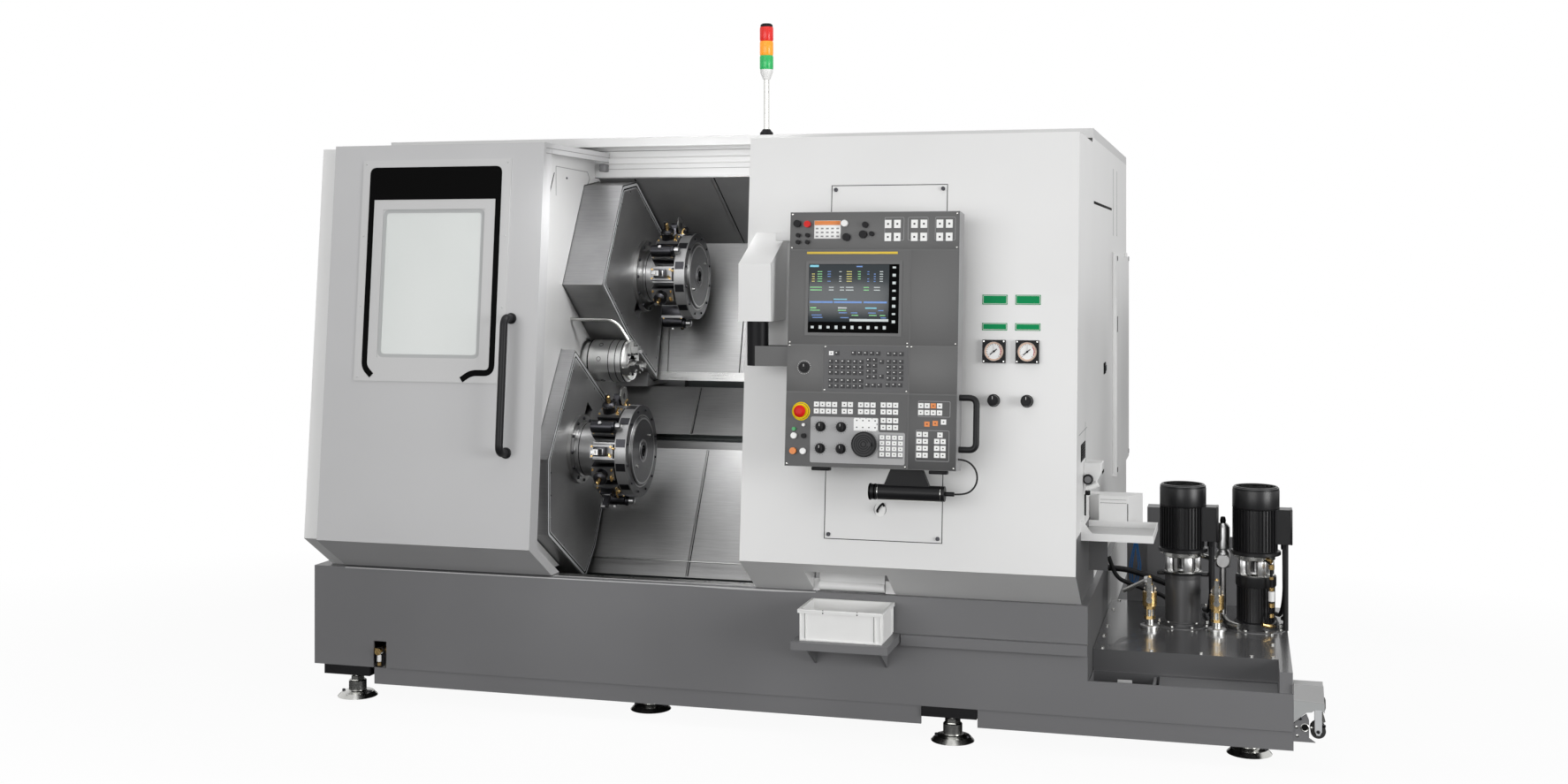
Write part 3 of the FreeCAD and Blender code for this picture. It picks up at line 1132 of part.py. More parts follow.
# Keys in blocks: kind, left edge, lower edge, columns, rows.
KEY_BLOCKS = [
    ("key", 143, 302, 6, 3), ("key", 143, 258, 6, 2), ("key", 270, 290, 2, 4),
    ("key", 313, 292, 1, 1), ("key", 313, 340, 1, 1), ("key", 337, 286, 3, 4),
    ("key", 267, 263, 3, 1), ("key", 335, 265, 3, 1), ("key", 143, 366, 2, 1),
    ("key", 219, 367, 5, 1), ("key", 337, 366, 3, 1), ("key", 319, 40, 4, 4),
    ("pad", 96, 174, 4, 2), ("pad", 190, 175, 2, 2), ("pad", 245, 175, 3, 2),
    ("pad", 320, 176, 3, 2), ("pad", 233, 124, 4, 2), ("pad", 321, 126, 3, 2),
    ("pad", 444, 177, 4, 2), ("pad", 519, 148, 1, 1), ("pad", 465, 140, 1, 1),
    ("pad", 492, 143, 1, 1), ("pad", 440, 40, 2, 4), ("pad", 498, 41, 2, 3),
    ("pad", 508, 106, 1, 1), ("strip", 322, 743, 2, 2), ("strip", 410, 743, 2, 2),
    ("strip", 494, 743, 2, 2)]
# Round buttons and key switches: middle across, middle up, radius.
BUTTONS = [(25, 802, 12), (60, 800, 11), (187, 802, 11), (194, 756, 13), (250, 765, 13),
           (257, 797, 10), (279, 767, 8), (29, 763, 7), (61, 763, 7), (29, 740, 7), (61, 740, 7),
           (60, 325, 17), (31, 100, 10), (31, 122, 6), (63, 136, 5), (64, 100, 8), (29, 50, 11),
           (63, 50, 10)]


def key_block(kind, x, z, columns, rows):
    wide, high, across, up = [getattr(S, kind + end) for end in ("_wide", "_high", "_across",
                                                                 "_up")]
    return [made(solid_box(x + i * across, x + i * across + wide, -S.key_proud, 0, z + j * up,
                           z + j * up + high)) for i in range(columns) for j in range(rows)]


def pendant():
    body = block("0", "pendant_wide", "0", "pendant_deep", "0", "pendant_high")
    stop_hole = rod("y", "stop_x", "-12", "stop_low", "stop_r * 0.45 + seat_gap", "40")
    collar = rod("y", "stop_x", "-8", "stop_low", "stop_r * 1.25", "9")
    keep("pendant_housing", on_pendant(cut(fuse(body, collar), stop_hole)))
    frame = block("screen_left - bezel", "screen_left + screen_wide + bezel", "-4", "0",
                  "screen_low - bezel", "screen_low + screen_high + bezel")
    view = block("screen_left", "screen_left + screen_wide", "-5", "-2", "screen_low",
                 "screen_low + screen_high")
    keep("screen", on_pendant(cut(frame, view)))
    keys = []
    for group in KEY_BLOCKS:
        keys += key_block(*group)
    for x, z, radius in BUTTONS:
        keys.append(made(solid_rod(x, -12, z, radius, 12, Y_AXIS)))
    keep("pendant_keys", on_pendant(*keys))
    head = cone("z", "0", "0", "0", "stop_r", "stop_r * 0.8", "12")
    head.Placement.Rotation = FreeCAD.Rotation(X_AXIS, 90)
    put(head, "stop_x", "-8 - stop_travel - 1", "stop_low")
    stem = rod("y", "stop_x", "-8 - stop_travel - 2", "stop_low", "stop_r * 0.45", "30")
    keep("emergency_stop", on_pendant(fuse(head, stem)))
    wheel = fuse(rod("y", "jog_x", "-24", "jog_low", "jog_r * 0.82", "24 - seat_gap"),
                 rod("y", "jog_x", "-20", "jog_low", "jog_r", "14"),
                 rod("y", "jog_x + jog_r * 0.55", "-crank_reach", "jog_low", "crank_r",
                     "crank_reach - 22"))
    keep("jog_wheel", on_pendant(wheel))
    for i in range(4):
        x = "dial_x + %d * dial_pitch" % (i % 2)
        z = "dial_low + %d * dial_rise" % (i // 2)
        body = rod("y", x, "-6", z, "dial_r * 1.4", "6 - seat_gap")
        grip = rod("y", x, "-18", z, "dial_r", "13")
        keep("selector_%d" % (i + 1), on_pendant(fuse(body, grip)))


def pendant_fittings():
    right = "pendant_wide + rail_out"
    y = "pendant_deep / 2"
    bar = rod("z", right, y, "rail_low", "rail_r", "rail_high")
    arms = [rod("x", "pendant_wide", y, z, "rail_r * 0.9", "rail_out")
            for z in ("rail_low + rail_r", "rail_low + rail_high - rail_r")]
    grab = on_pendant(fuse(bar, *arms))
    lamp_y = "pendant_y + 42"
    tube = rod("x", "lamp_x", lamp_y, "lamp_z", "lamp_r", "lamp_long")
    plug = rod("x", "lamp_x + lamp_long - 1", lamp_y, "lamp_z", "cord_r * 2.4", "plug_long + 1")
    strap = prism_y(lamp_y + " - 12", "24", [
        ("lamp_x + 50", "lamp_z + lamp_r - 2"), ("lamp_x + 200", "lamp_z + lamp_r - 2"),
        ("lamp_x + 160", "pendant_z + 40"), ("lamp_x + 90", "pendant_z + 40")])
    body = on_pendant(block("0", "pendant_wide", "0", "pendant_deep", "0", "pendant_high"))
    keep("pendant_fittings", grab, cut(fuse(tube, plug, strap), body))


def lamp_cord():
    y = S.pendant_y + 42
    x = S.pendant_x + S.pendant_wide
    z = S.lamp_z
    end = S.lamp_x + S.lamp_long + S.plug_long
    points = [V(x, y, z + 113), V(x + 23.7, y, z + 113), V(x + 53.4, y, z + 91.4),
              V(x + 64.7, y, z + 56.5), V(x + 53.4, y, z + 21.6), V(x + 23.7, y, z), V(end, y, z)]
    keep("lamp_cord", cord_tube("lamp cord", points, S.cord_r))


base_frame()
levelling_feet()
parts_bin()
slant_bed()
headstock()
chuck()
counter_spindle()
upper_unit()
lower_unit()
back_panels()
inner_wall()
left_cover()
door()
front_cover()
cover_plates()
gauges()
chute_flap()
roof_panel()
cabinet_shell()
shelf()
signal_tower()
coolant_tank()
pumps()
coolant_pipes()
coolant_hose()
end_bracket()
pendant_bracket()
pendant_arm()
pendant()
pendant_fittings()
lamp_cord()
doc.recompute()

for thing in doc.Objects:
    if "Invalid" in thing.State or "Error" in thing.State:
        raise RuntimeError("%s (%s) did not compute: %s" % (thing.Name, thing.Label, thing.State))
os.makedirs("parts", exist_ok=True)
low = V(1e9, 1e9, 1e9)
high = V(-1e9, -1e9, -1e9)
for node in nodes:
    shape = Part.makeCompound(node.Shape.Solids)
    if not shape.Solids or not shape.isValid():
        raise RuntimeError("%s is not a valid solid" % node.Label)
    shape.exportStep("parts/%s.step" % node.Label)
    box = shape.BoundBox
    low = V(min(low.x, box.XMin), min(low.y, box.YMin), min(low.z, box.ZMin))
    high = V(max(high.x, box.XMax), max(high.y, box.YMax), max(high.z, box.ZMax))
    print("%-20s %3d solids  %9.1f cm3" % (node.Label, len(shape.Solids), shape.Volume / 1000))
print("%d pieces, box %s to %s" % (len(nodes), low, high))
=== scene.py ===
import math
from collections import namedtuple

import bmesh
import bpy
from mathutils import Matrix, Vector


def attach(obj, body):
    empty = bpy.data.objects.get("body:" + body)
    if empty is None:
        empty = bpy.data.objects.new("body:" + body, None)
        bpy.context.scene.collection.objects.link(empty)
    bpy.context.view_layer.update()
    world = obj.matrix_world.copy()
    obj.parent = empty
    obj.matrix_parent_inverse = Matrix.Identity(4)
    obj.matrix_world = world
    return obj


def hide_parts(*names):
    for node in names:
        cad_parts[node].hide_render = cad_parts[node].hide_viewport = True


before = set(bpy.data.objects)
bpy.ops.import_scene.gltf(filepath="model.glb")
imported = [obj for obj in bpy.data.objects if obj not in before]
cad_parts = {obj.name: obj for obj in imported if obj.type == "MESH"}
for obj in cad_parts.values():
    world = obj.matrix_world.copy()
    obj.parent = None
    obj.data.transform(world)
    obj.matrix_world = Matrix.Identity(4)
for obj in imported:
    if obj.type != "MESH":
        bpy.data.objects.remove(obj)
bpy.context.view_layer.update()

# Measures below are millimetres from the left end of the base, its front face and the floor.
BASE_MIDDLE = (1825.0, 969.959, 0)
LEAN = Matrix.Rotation(-math.radians(5.409), 4, "X")
FRONT_FOOT = (0, -178.2003, 630.4)
PENDANT_CORNER = (1934.0, -329.0, 979.0)

WORLD = Matrix.Translation([-v / 1000 for v in BASE_MIDDLE]) @ Matrix.Scale(0.001, 4)
FRONT = WORLD @ Matrix.Translation(FRONT_FOOT) @ LEAN
PENDANT = WORLD @ Matrix.Translation(PENDANT_CORNER) @ LEAN


# Shader expressions

class Value:
    """A socket that can be used in arithmetic."""

    def __init__(self, shade, socket):
        self.shade = shade
        self.socket = socket

    def math(self, operation, *others):
        return self.shade.node("ShaderNodeMath", {"operation": operation},
                               dict(enumerate((self, *others))))

    def __add__(self, other):
        return self.math("ADD", other)

    def __mul__(self, other):
        return self.math("MULTIPLY", other)

    def __sub__(self, other):
        return self.math("SUBTRACT", other)


class Shade:
    """The node tree of a material or world, built from expressions."""

    def __init__(self, owner, kind="Material"):
        owner.use_nodes = True
        self.owner = owner
        self.tree = owner.node_tree
        self.tree.nodes.clear()
        self.out = self.tree.nodes.new("ShaderNodeOutput" + kind)
        self.coordinates = None

    def node(self, kind, settings, inputs, output=0):
        made = self.tree.nodes.new(kind)
        for key, value in settings.items():
            setattr(made, key, value)
        for key, value in inputs.items():
            if isinstance(value, Value):
                self.tree.links.new(value.socket, made.inputs[key])
            else:
                made.inputs[key].default_value = value
        return Value(self, made.outputs[output])

    def place(self):
        if self.coordinates is None:
            self.coordinates = self.node("ShaderNodeTexCoord", {}, {}, "Object")
        return self.coordinates

    def axes(self):
        parts = self.node("ShaderNodeSeparateXYZ", {}, {0: self.place()})
        return [Value(self, output) for output in parts.socket.node.outputs]

    def noise(self, scale, detail=2.0, stretch=None, rough=0.5):
        where = self.place()
        if stretch:
            where = self.node("ShaderNodeMapping", {}, {"Vector": where, "Scale": stretch})
        return self.node("ShaderNodeTexNoise", {},
                         {"Vector": where, "Scale": scale, "Detail": detail, "Roughness": rough})

    def blend(self, factor, a, b):
        """Mix two colours."""
        a, b = [(*c, 1) if isinstance(c, tuple) else c for c in (a, b)]
        return self.node("ShaderNodeMix", {"data_type": "RGBA"}, {0: factor, 6: a, 7: b}, 2)

    def ramp(self, value, low, high):
        """Stretch a value so that low becomes 0 and high becomes 1."""
        return self.node("ShaderNodeMapRange", {}, {0: value, 1: low, 2: high})

    def bump(self, height, strength, distance):
        return self.node("ShaderNodeBump", {}, {"Height": height, "Strength": strength,
                                                "Distance": distance})

    def principled(self, **inputs):
        names = {key.replace("_", " ").title().replace("Ior", "IOR"): value
                 for key, value in inputs.items()}
        return self.finish(self.node("ShaderNodeBsdfPrincipled", {}, names))

    def finish(self, surface):
        self.tree.links.new(surface.socket, self.out.inputs["Surface"])
        return self.owner


def new_shade(name):
    return Shade(bpy.data.materials.new(name))


def shades(colour, spread):
    """A darker and a lighter shade. A plain number is a grey."""
    if not isinstance(colour, tuple):
        colour = (colour,) * 3
    return tuple(c * (1 - spread) for c in colour), tuple(min(1, c * (1 + spread)) for c in colour)


def paint(name, colour, rough=0.42, peel=0.12, spread=0.035, coat=0.0, shine=0.5):
    """Sprayed paint: a faint cloudiness and orange peel."""
    s = new_shade(name)
    cloud = s.noise(1.7)
    fine = s.noise(420.0)
    return s.principled(base_color=s.blend(s.ramp(cloud, 0.3, 0.7), *shades(colour, spread)),
                        roughness=cloud * 0.10 + (rough - 0.05), coat_weight=coat,
                        specular_ior_level=shine, normal=s.bump(fine, peel, 0.0004))


def steel(name, colour, rough, grain, spread=0.16, metallic=1.0, blotch=3.0):
    """Brushed or ground sheet: fine lines one way, cloudy reflections."""
    s = new_shade(name)
    cloud = s.noise(blotch, 3.0)
    lines = s.noise(9.0, 4.0, grain, 0.7)
    base = s.blend(s.ramp(cloud * 0.7 + lines * 0.3, 0.36, 0.64), *shades(colour, spread))
    return s.principled(base_color=base, metallic=metallic,
                        roughness=lines * 0.22 + (rough - 0.11), normal=s.bump(lines, 0.10, 0.0006))


def turned(name, colour, rough, centre, pitch=900.0):
    """Metal turned about a line along X: fine rings round it."""
    s = new_shade(name)
    y, z = s.axes()[1:]
    across = y - centre[0]
    up = z - centre[1]
    rings = ((across * across + up * up).math("SQRT") * pitch).math("SINE") * 0.5 + 0.5
    cloud = s.noise(14.0, 3.0)
    base = s.blend(s.ramp(cloud * 0.75 + rings * 0.25, 0.25, 0.75), *shades(colour, 0.10))
    return s.principled(base_color=base, metallic=1.0, roughness=cloud * 0.18 + (rough - 0.05),
                        normal=s.bump(rings, 0.06, 0.0003))


def plastic(name, colour, rough, grain=0.15, spread=0.06, shine=0.5):
    """Moulded plastic with a fine spark texture."""
    s = new_shade(name)
    cloud = s.noise(9.0)
    fine = s.noise(700.0)
    return s.principled(base_color=s.blend(cloud, *shades(colour, spread)),
                        roughness=fine * 0.12 + (rough - 0.06), specular_ior_level=shine,
                        normal=s.bump(fine, grain, 0.0003))


def glowing(name, colour, strength, rough=0.25):
    """A lens or lamp with a little light of its own."""
    s = new_shade(name)
    base = s.blend(s.noise(60.0), *shades(colour, 0.12))
    return s.principled(base_color=base, roughness=rough, emission_color=base,
                        emission_strength=strength)


def frosted(name, dark, light):
    """A frosted pane, cloudy between two colours."""
    s = new_shade(name)
    cloud = s.noise(1.4)
    fine = s.noise(260.0)
    return s.principled(base_color=s.blend(s.ramp(cloud, 0.3, 0.7), dark, light),
                        roughness=cloud * 0.1 + 0.14, transmission_weight=0.25,
                        specular_ior_level=0.6, coat_weight=0.4, normal=s.bump(fine, 0.05, 0.0003))


M = {
    "cover white": paint("cover_white_paint", (0.78, 0.78, 0.775), 0.38),
    "roof white": paint("roof_white_paint", (0.60, 0.60, 0.598)),
    "wall white": paint("inner_wall_paint", (0.57, 0.57, 0.568)),
    "door grey": paint("door_grey_paint", (0.50, 0.50, 0.505), 0.4),
    "door plate": paint("door_plate_paint", 0.53, 0.36),
    "base grey": paint("base_grey_paint", (0.165, 0.165, 0.17), 0.42, 0.2, 0.06),
    "bracket grey": paint("bracket_grey_paint", 0.40),
    "black gloss": paint("black_gloss_paint", 0.002, 0.40, 0.05, 0.2, 0.0, 0.02),
    "black paint": paint("black_paint", (0.011, 0.011, 0.012), 0.40, 0.2, 0.15, 0.0, 0.2),
    "green paint": paint("green_plate_paint", (0.003, 0.26, 0.085), 0.5, shine=0.1),
    "yellow paint": paint("yellow_paint", (0.72, 0.50, 0.03), 0.4),
    "stainless": steel("stainless_sheet", 0.30, 0.36, (1.0, 30.0, 30.0), 0.22, 0.8, 2.2),
    "stainless bright": steel("stainless_bright", (0.42, 0.42, 0.415), 0.30, (1.0, 30.0, 30.0)),
    # Painted light: a lighter copy of the housing steel for its faces turned to the front.
    "stainless lit face": steel("housing_face_painted_light_steel", (0.36, 0.36, 0.365), 0.36, (1.0, 24.0, 24.0),
                            0.2, 0.9),
    "stainless dark": steel("housing_plate_steel", (0.29, 0.29, 0.292), 0.40, (30.0, 1.0, 30.0),
                            metallic=0.7),
    "ground": steel("ground_steel", 0.38, 0.34, (20.0, 1.0, 20.0), 0.12),
    "nickel": steel("nickel_plate", (0.54, 0.54, 0.52), 0.22, (6.0, 6.0, 6.0), 0.1),
    "cast": paint("cast_iron_paint", (0.17, 0.19, 0.19), 0.5, 0.5, 0.1),
    "motor black": paint("motor_black", (0.011, 0.011, 0.012), 0.34, 0.35, 0.2, 0.0, 0.4),
    "pump grey": steel("pump_body_grey", (0.075, 0.075, 0.077), 0.42, (20.0, 20.0, 1.0), 0.1,
                       0.25),
    "silver": steel("cast_aluminium", 0.55, 0.34, (8.0, 8.0, 8.0), 0.1),
    "brass": steel("brass_fitting", (0.62, 0.43, 0.18), 0.28, (10.0, 10.0, 10.0), 0.12),
    "hole": plastic("deep_hole", 0.005, 0.7, 0.1, shine=0.1),
    "oxide": steel("oxide_black_steel", (0.045, 0.045, 0.05), 0.32, (10.0, 10.0, 10.0), 0.2),
    "black plastic": plastic("black_plastic", (0.006, 0.006, 0.007), 0.42, shine=0.15),
    "grey plastic": plastic("grey_plastic", (0.16, 0.16, 0.165), 0.42),
    "panel silver": paint("control_panel_silver", (0.33, 0.33, 0.335), 0.36, 0.05),
    "pendant low": paint("pendant_low_panel_paint", (0.062, 0.062, 0.063), 0.45, 0.3, 0.05),
    "silver plate": paint("silver_grey_panel", (0.56, 0.57, 0.58), 0.32, 0.05),
    "white plastic": plastic("white_plastic", (0.87, 0.87, 0.86), 0.4),
    "dial ring": plastic("gauge_dial_ring", (0.72, 0.50, 0.38), 0.4),
    "key white": plastic("key_white", (0.88, 0.88, 0.87), 0.38, 0.05),
    "key grey": plastic("key_grey", (0.22, 0.22, 0.225), 0.4, 0.05),
    "pendant grey": paint("pendant_grey_paint", 0.10, 0.45, 0.3, 0.05),
    "pendant edge": paint("pendant_light_edge", (0.30, 0.30, 0.305), 0.42, 0.2),
    "key plate": plastic("key_plate", (0.055, 0.055, 0.058), 0.42, 0.1),
    # Deck paint, also used as painted shade on the tank's front wall under the deck edge.
    "deck grey and recess shade": paint("tank_deck_and_recess_shade_paint", (0.092, 0.092, 0.095), 0.22, 0.1, 0.12, 0.25),
    # Painted light: a lighter grey for the motor's top cap, where light falls from above.
    "lid painted light": paint("motor_lid_painted_light", (0.085, 0.085, 0.088), 0.36, 0.3, 0.1),
    "display": glowing("display_back", (0.007, 0.013, 0.017), 0.3, 0.2),
    "display sky": glowing("display_sky_text", (0.10, 0.38, 0.48), 0.5, 0.2),
    "display blue": glowing("display_blue_text", (0.04, 0.13, 0.36), 0.6, 0.2),
    "display white": glowing("display_white_text", (0.38, 0.42, 0.42), 0.4, 0.2),
    "display yellow": glowing("display_yellow_text", (0.45, 0.40, 0.08), 0.5, 0.2),
    "display green": glowing("display_green_text", (0.12, 0.42, 0.14), 0.5, 0.2),
    # Painted shade: a dark grey laid on the right side under the shelf and its tray, where shade
    # falls.
    "side painted shade": paint("side_painted_shade_grey", (0.10, 0.10, 0.102), 0.42, 0.2, 0.06),
    "pane border": paint("pane_border_paint", (0.40, 0.41, 0.41), 0.4),
    "seam grey": paint("sheet_seam_grey", 0.22, 0.5),
    "holder grey": steel("tool_holder_steel", (0.26, 0.26, 0.265), 0.36, (12.0, 12.0, 12.0),
                         0.15, 0.85),
    "cap grey": steel("turret_cap_steel", (0.095, 0.095, 0.10), 0.34, (10.0, 10.0, 10.0),
                      0.12, 0.75),
    "key dark": plastic("key_dark", (0.014, 0.014, 0.016), 0.40, 0.05, shine=0.3),
    "orange plastic": plastic("orange_plastic", (0.75, 0.22, 0.03), 0.38, 0.05),
    "yellow plastic": plastic("yellow_plastic", (0.92, 0.70, 0.004), 0.45, 0.05, 0.03, 0.15),
    "red plastic": plastic("red_plastic", (0.66, 0.010, 0.008), 0.36, 0.03, 0.04, 0.2),
    "green plastic": plastic("green_plastic", (0.03, 0.35, 0.10), 0.35, 0.03),
    "blue tube": plastic("blue_tube", (0.03, 0.16, 0.42), 0.28, 0.03),
    "white tube": plastic("white_tube", (0.70, 0.70, 0.66), 0.3, 0.03),
    "rubber": plastic("hose_rubber", (0.010, 0.010, 0.011), 0.5, 0.3, shine=0.3),
    "glass": frosted("frosted_pane", (0.60, 0.64, 0.62), (0.72, 0.75, 0.73)),
    "red lens": glowing("red_lens", (0.62, 0.015, 0.01), 0.35),
    "amber lens": glowing("amber_lens", (0.85, 0.30, 0.02), 0.45),
    "green lens": glowing("green_lens", (0.02, 0.38, 0.10), 0.35),
    "lens": glowing("work_lamp_lens", (0.75, 0.75, 0.72), 0.1),
}
# Middle lines of the spindle and the two turrets: behind the base's front face, over the floor.
SPINDLE, UPPER, LOWER = (520, 1262), (740, 1592), (299, 938)
for key, line, colour in (("spindle", SPINDLE, (0.90, 0.90, 0.89)), ("upper", UPPER, 0.42),
                          ("lower", LOWER, 0.42)):
    centre = ((line[0] - BASE_MIDDLE[1]) / 1000, line[1] / 1000)
    M[key + " turned"] = turned(key + "_turned_steel", colour, 0.28, centre)
    M[key + " dull"] = turned(key + "_dull_steel", (0.36, 0.36, 0.355), 0.3, centre, 700.0)


# Pieces made of several primitives, each with its own finish

Face = namedtuple("Face", "low high middle normal")


def solid(node):
    """The mesh of a CAD node, its seams closed."""
    part = bmesh.new()
    part.from_mesh(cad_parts[node].data)
    bmesh.ops.remove_doubles(part, verts=part.verts[:], dist=2e-6)
    return part


def shells(part, back):
    """The faces of each separate solid, with its two outer corners in the frame of back."""
    done = set()
    for first in part.faces:
        if first in done:
            continue
        shell = [first]
        done.add(first)
        for face in shell:
            for edge in face.edges:
                for other in edge.link_faces:
                    if other not in done:
                        done.add(other)
                        shell.append(other)
        spots = [back @ v.co for face in shell for v in face.verts]
        yield (shell, *(Vector([pick(p[i] for p in spots) for i in range(3)])
                        for pick in (min, max)))


def close_up(part, rings):
    """Join rings of corners into a skin with two ends."""
    for a, b in zip(rings, rings[1:]):
        for i in range(len(a)):
            j = (i + 1) % len(a)
            part.faces.new((a[i], a[j], b[j], b[i]))
    part.faces.new(rings[0])
    part.faces.new(rings[-1])


def soften(part, limit):
    """Edges flatter than the limit are smooth."""
    for face in part.faces:
        face.smooth = True
    for edge in part.edges:
        edge.smooth = len(edge.link_faces) == 2 and edge.calc_face_angle(4.0) < limit


class Piece:
    """One object in the making. Measures are millimetres in the frame that place gives."""

    def __init__(self, name, body, place=WORLD):
        self.name = name
        self.body = body
        self.place = place
        self.whole = bmesh.new()
        self.finishes = []
        self.nodes = []

    def finish_index(self, finish):
        if finish not in self.finishes:
            self.finishes.append(finish)
        return self.finishes.index(finish)

    def add(self, part, finish, soft=28.0, turn=None, outward=True):
        """Take in a part: its sharp edges stay sharp and the rest is smooth."""
        if outward:
            bmesh.ops.recalc_face_normals(part, faces=part.faces[:])
        if turn is not None:
            part.transform(turn)
        part.transform(self.place)
        if finish is not None:
            index = self.finish_index(finish)
            for face in part.faces:
                face.material_index = index
        soften(part, math.radians(soft))
        mesh = bpy.data.meshes.new("part")
        part.to_mesh(mesh)
        part.free()
        self.whole.from_mesh(mesh)
        bpy.data.meshes.remove(mesh)

    def box(self, finish, x0, x1, y0, y1, z0, z1, edge, turn=None):
        part = bmesh.new()
        bmesh.ops.create_cube(part, size=1)
        sides = [(x0, x1), (y0, y1), (z0, z1)]
        for v in part.verts:
            v.co = [(a + b) / 2 + c * (b - a) for (a, b), c in zip(sides, v.co)]
        edge = min(edge, 0.3 * min(b - a for a, b in sides))
        if edge > 0.05:
            bmesh.ops.bevel(part, geom=part.edges[:], offset=edge, segments=2, profile=0.5,
                            affect="EDGES")
        self.add(part, finish, 50, turn, False)

    def collar(self, finish, axis, centre, profile, sides=32, turn=None):
        """A turned ring: the profile closes on itself."""
        self.lathe(finish, axis, centre, profile + profile[:1], sides, turn)

    def lathe(self, finish, axis, centre, profile, sides=32, turn=None, soft=28.0):
        """A profile of (along, radius) turned about an axis through a point."""
        part = bmesh.new()
        rings = [[part.verts.new(spot(axis, centre, along, a, b)) for a, b in (
            circle(sides, radius) if radius else [(0, 0)])] for along, radius in profile]
        for a, b in zip(rings, rings[1:]):
            for i in range(sides):
                j = (i + 1) % sides
                corners = [a[i % len(a)], a[j % len(a)], b[j % len(b)], b[i % len(b)]]
                part.faces.new([c for n, c in enumerate(corners) if c not in corners[:n]])
        if profile[0] == profile[-1]:
            bmesh.ops.remove_doubles(part, verts=rings[0] + rings[-1], dist=1e-5)
        else:
            for ring in (rings[0], rings[-1]):
                if len(ring) > 1:
                    part.faces.new(ring)
        self.add(part, finish, soft if sides > 6 else 10, turn)

    def plate(self, finish, axis, start, thick, outline, turn=None, edge=0.0):
        """A flat outline given a thickness along an axis."""
        part = bmesh.new()
        low, high = ([part.verts.new(flat_spot(axis, level, a, b)) for a, b in outline]
                     for level in (start, start + thick))
        part.faces.new(low)
        part.faces.new(high)
        for i in range(len(outline)):
            j = (i + 1) % len(outline)
            part.faces.new((low[i], low[j], high[j], high[i]))
        if edge:
            bmesh.ops.recalc_face_normals(part, faces=part.faces[:])
            bmesh.ops.bevel(part, geom=part.edges[:], offset=edge, segments=1, affect="EDGES")
        self.add(part, finish, 35, turn, not edge)

    def band(self, finish, axis, start, thick, line, wide, corner=0.0, closed=False):
        """A flat strip that follows a line, its corners rounded."""
        line = rounded(line, corner, closed) if corner else [Vector(p) for p in line]
        count = len(line)
        sides = []
        for i, point in enumerate(line):
            before = line[i - 1] if i or closed else point
            after = line[(i + 1) % count] if i < count - 1 or closed else point
            ways = [w.normalized() for w in (point - before, after - point) if w.length > 1e-6]
            way = (ways[0] + ways[-1]).normalized()
            across = Vector((-way.y, way.x)) * (wide / 2 / max(0.3, way.dot(ways[0])))
            sides.append((point + across, point - across))
        part = bmesh.new()
        low, high = ([[part.verts.new(flat_spot(axis, level, *p)) for p in pair]
                      for pair in sides] for level in (start, start + thick))
        for i in range(count if closed else count - 1):
            j = (i + 1) % count
            part.faces.new((low[i][0], low[j][0], low[j][1], low[i][1]))
            part.faces.new((high[i][0], high[j][0], high[j][1], high[i][1]))
            for side in (0, 1):
                part.faces.new((low[i][side], low[j][side], high[j][side], high[i][side]))
        if not closed:
            for i in (0, count - 1):
                part.faces.new((*low[i], *reversed(high[i])))
        self.add(part, finish, 35)

    def tube(self, finish, points, radius, corner, sides, turn=None):
        """A round bar bent along a line."""
        line = rounded(points, corner, steps=7) if corner else [Vector(p) for p in points]
        part = bmesh.new()
        rings = []
        up = None
        for i, point in enumerate(line):
            way = (line[min(i + 1, len(line) - 1)] - line[max(i - 1, 0)]).normalized()
            up = up or way.orthogonal().normalized()
            up = (up - way * up.dot(way)).normalized()
            side = way.cross(up)
            rings.append([part.verts.new(point + up * radius * a + side * radius * b)
                          for a, b in circle(sides, 1)])
        close_up(part, rings)
        self.add(part, finish, 40, turn)

    def copy(self, node, choose):
        """The solids of a CAD node in one finish, or as choose says for each face."""
        part = solid(node)
        bmesh.ops.dissolve_limit(part, angle_limit=0.002, verts=part.verts[:],
                                 edges=part.edges[:])
        back = self.place.inverted()
        turn = back.to_3x3().normalized()
        spare = []
        for shell, low, high in shells(part, back):
            for face in shell:
                finish = choose if isinstance(choose, str) else choose(Face(
                    low, high, back @ face.calc_center_median(), (turn @ face.normal).normalized()))
                if finish is None:
                    spare.append(face)
                else:
                    face.material_index = self.finish_index(finish)
        bmesh.ops.delete(part, geom=spare, context="FACES")
        part.transform(back)
        self.nodes.append(node)
        self.add(part, None, 26, None, False)

    def done(self, slot):
        mesh = bpy.data.meshes.new(self.name)
        self.whole.to_mesh(mesh)
        self.whole.free()
        for finish in self.finishes:
            mesh.materials.append(M[finish])
        piece = shown(self.name, mesh)
        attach(piece, self.body)
        if self.nodes:
            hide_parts(*self.nodes)


def shown(name, data):
    thing = bpy.data.objects.new(name, data)
    bpy.context.scene.collection.objects.link(thing)
    return thing


def spot(axis, centre, along, a, b):
    x, y, z = centre
    return {"x": (x + along, y + a, z + b), "y": (x + a, y + along, z + b),
            "z": (x + a, y + b, z + along)}[axis]


def flat_spot(axis, level, a, b):
    return spot(axis, (0, 0, 0), level, a, b)


def circle(count, radius, phase=0.0):
    angles = [2 * math.pi * (i + phase) / count for i in range(count)]
    return [(radius * math.cos(a), radius * math.sin(a)) for a in angles]


def rounded(line, corner, closed=False, steps=6):
    """A line with an arc at each corner."""
    line = [Vector(p) for p in line]
    count = len(line)
    out = []
    for i, point in enumerate(line):
        if not closed and i in (0, count - 1):
            out.append(point)
            continue
        before = line[i - 1] - point
        after = line[(i + 1) % count] - point
        reach = min(corner, before.length * 0.49, after.length * 0.49)
        start = point + before.normalized() * reach
        end = point + after.normalized() * reach
        for t in (k / steps for k in range(steps + 1)):
            out.append(start * (1 - t) ** 2 + point * 2 * t * (1 - t) + end * t ** 2)
    return out


def rectangle(x0, x1, z0, z1):
    return [(x0, z0), (x1, z0), (x1, z1), (x0, z1)]


# Repeats, by geometry nodes

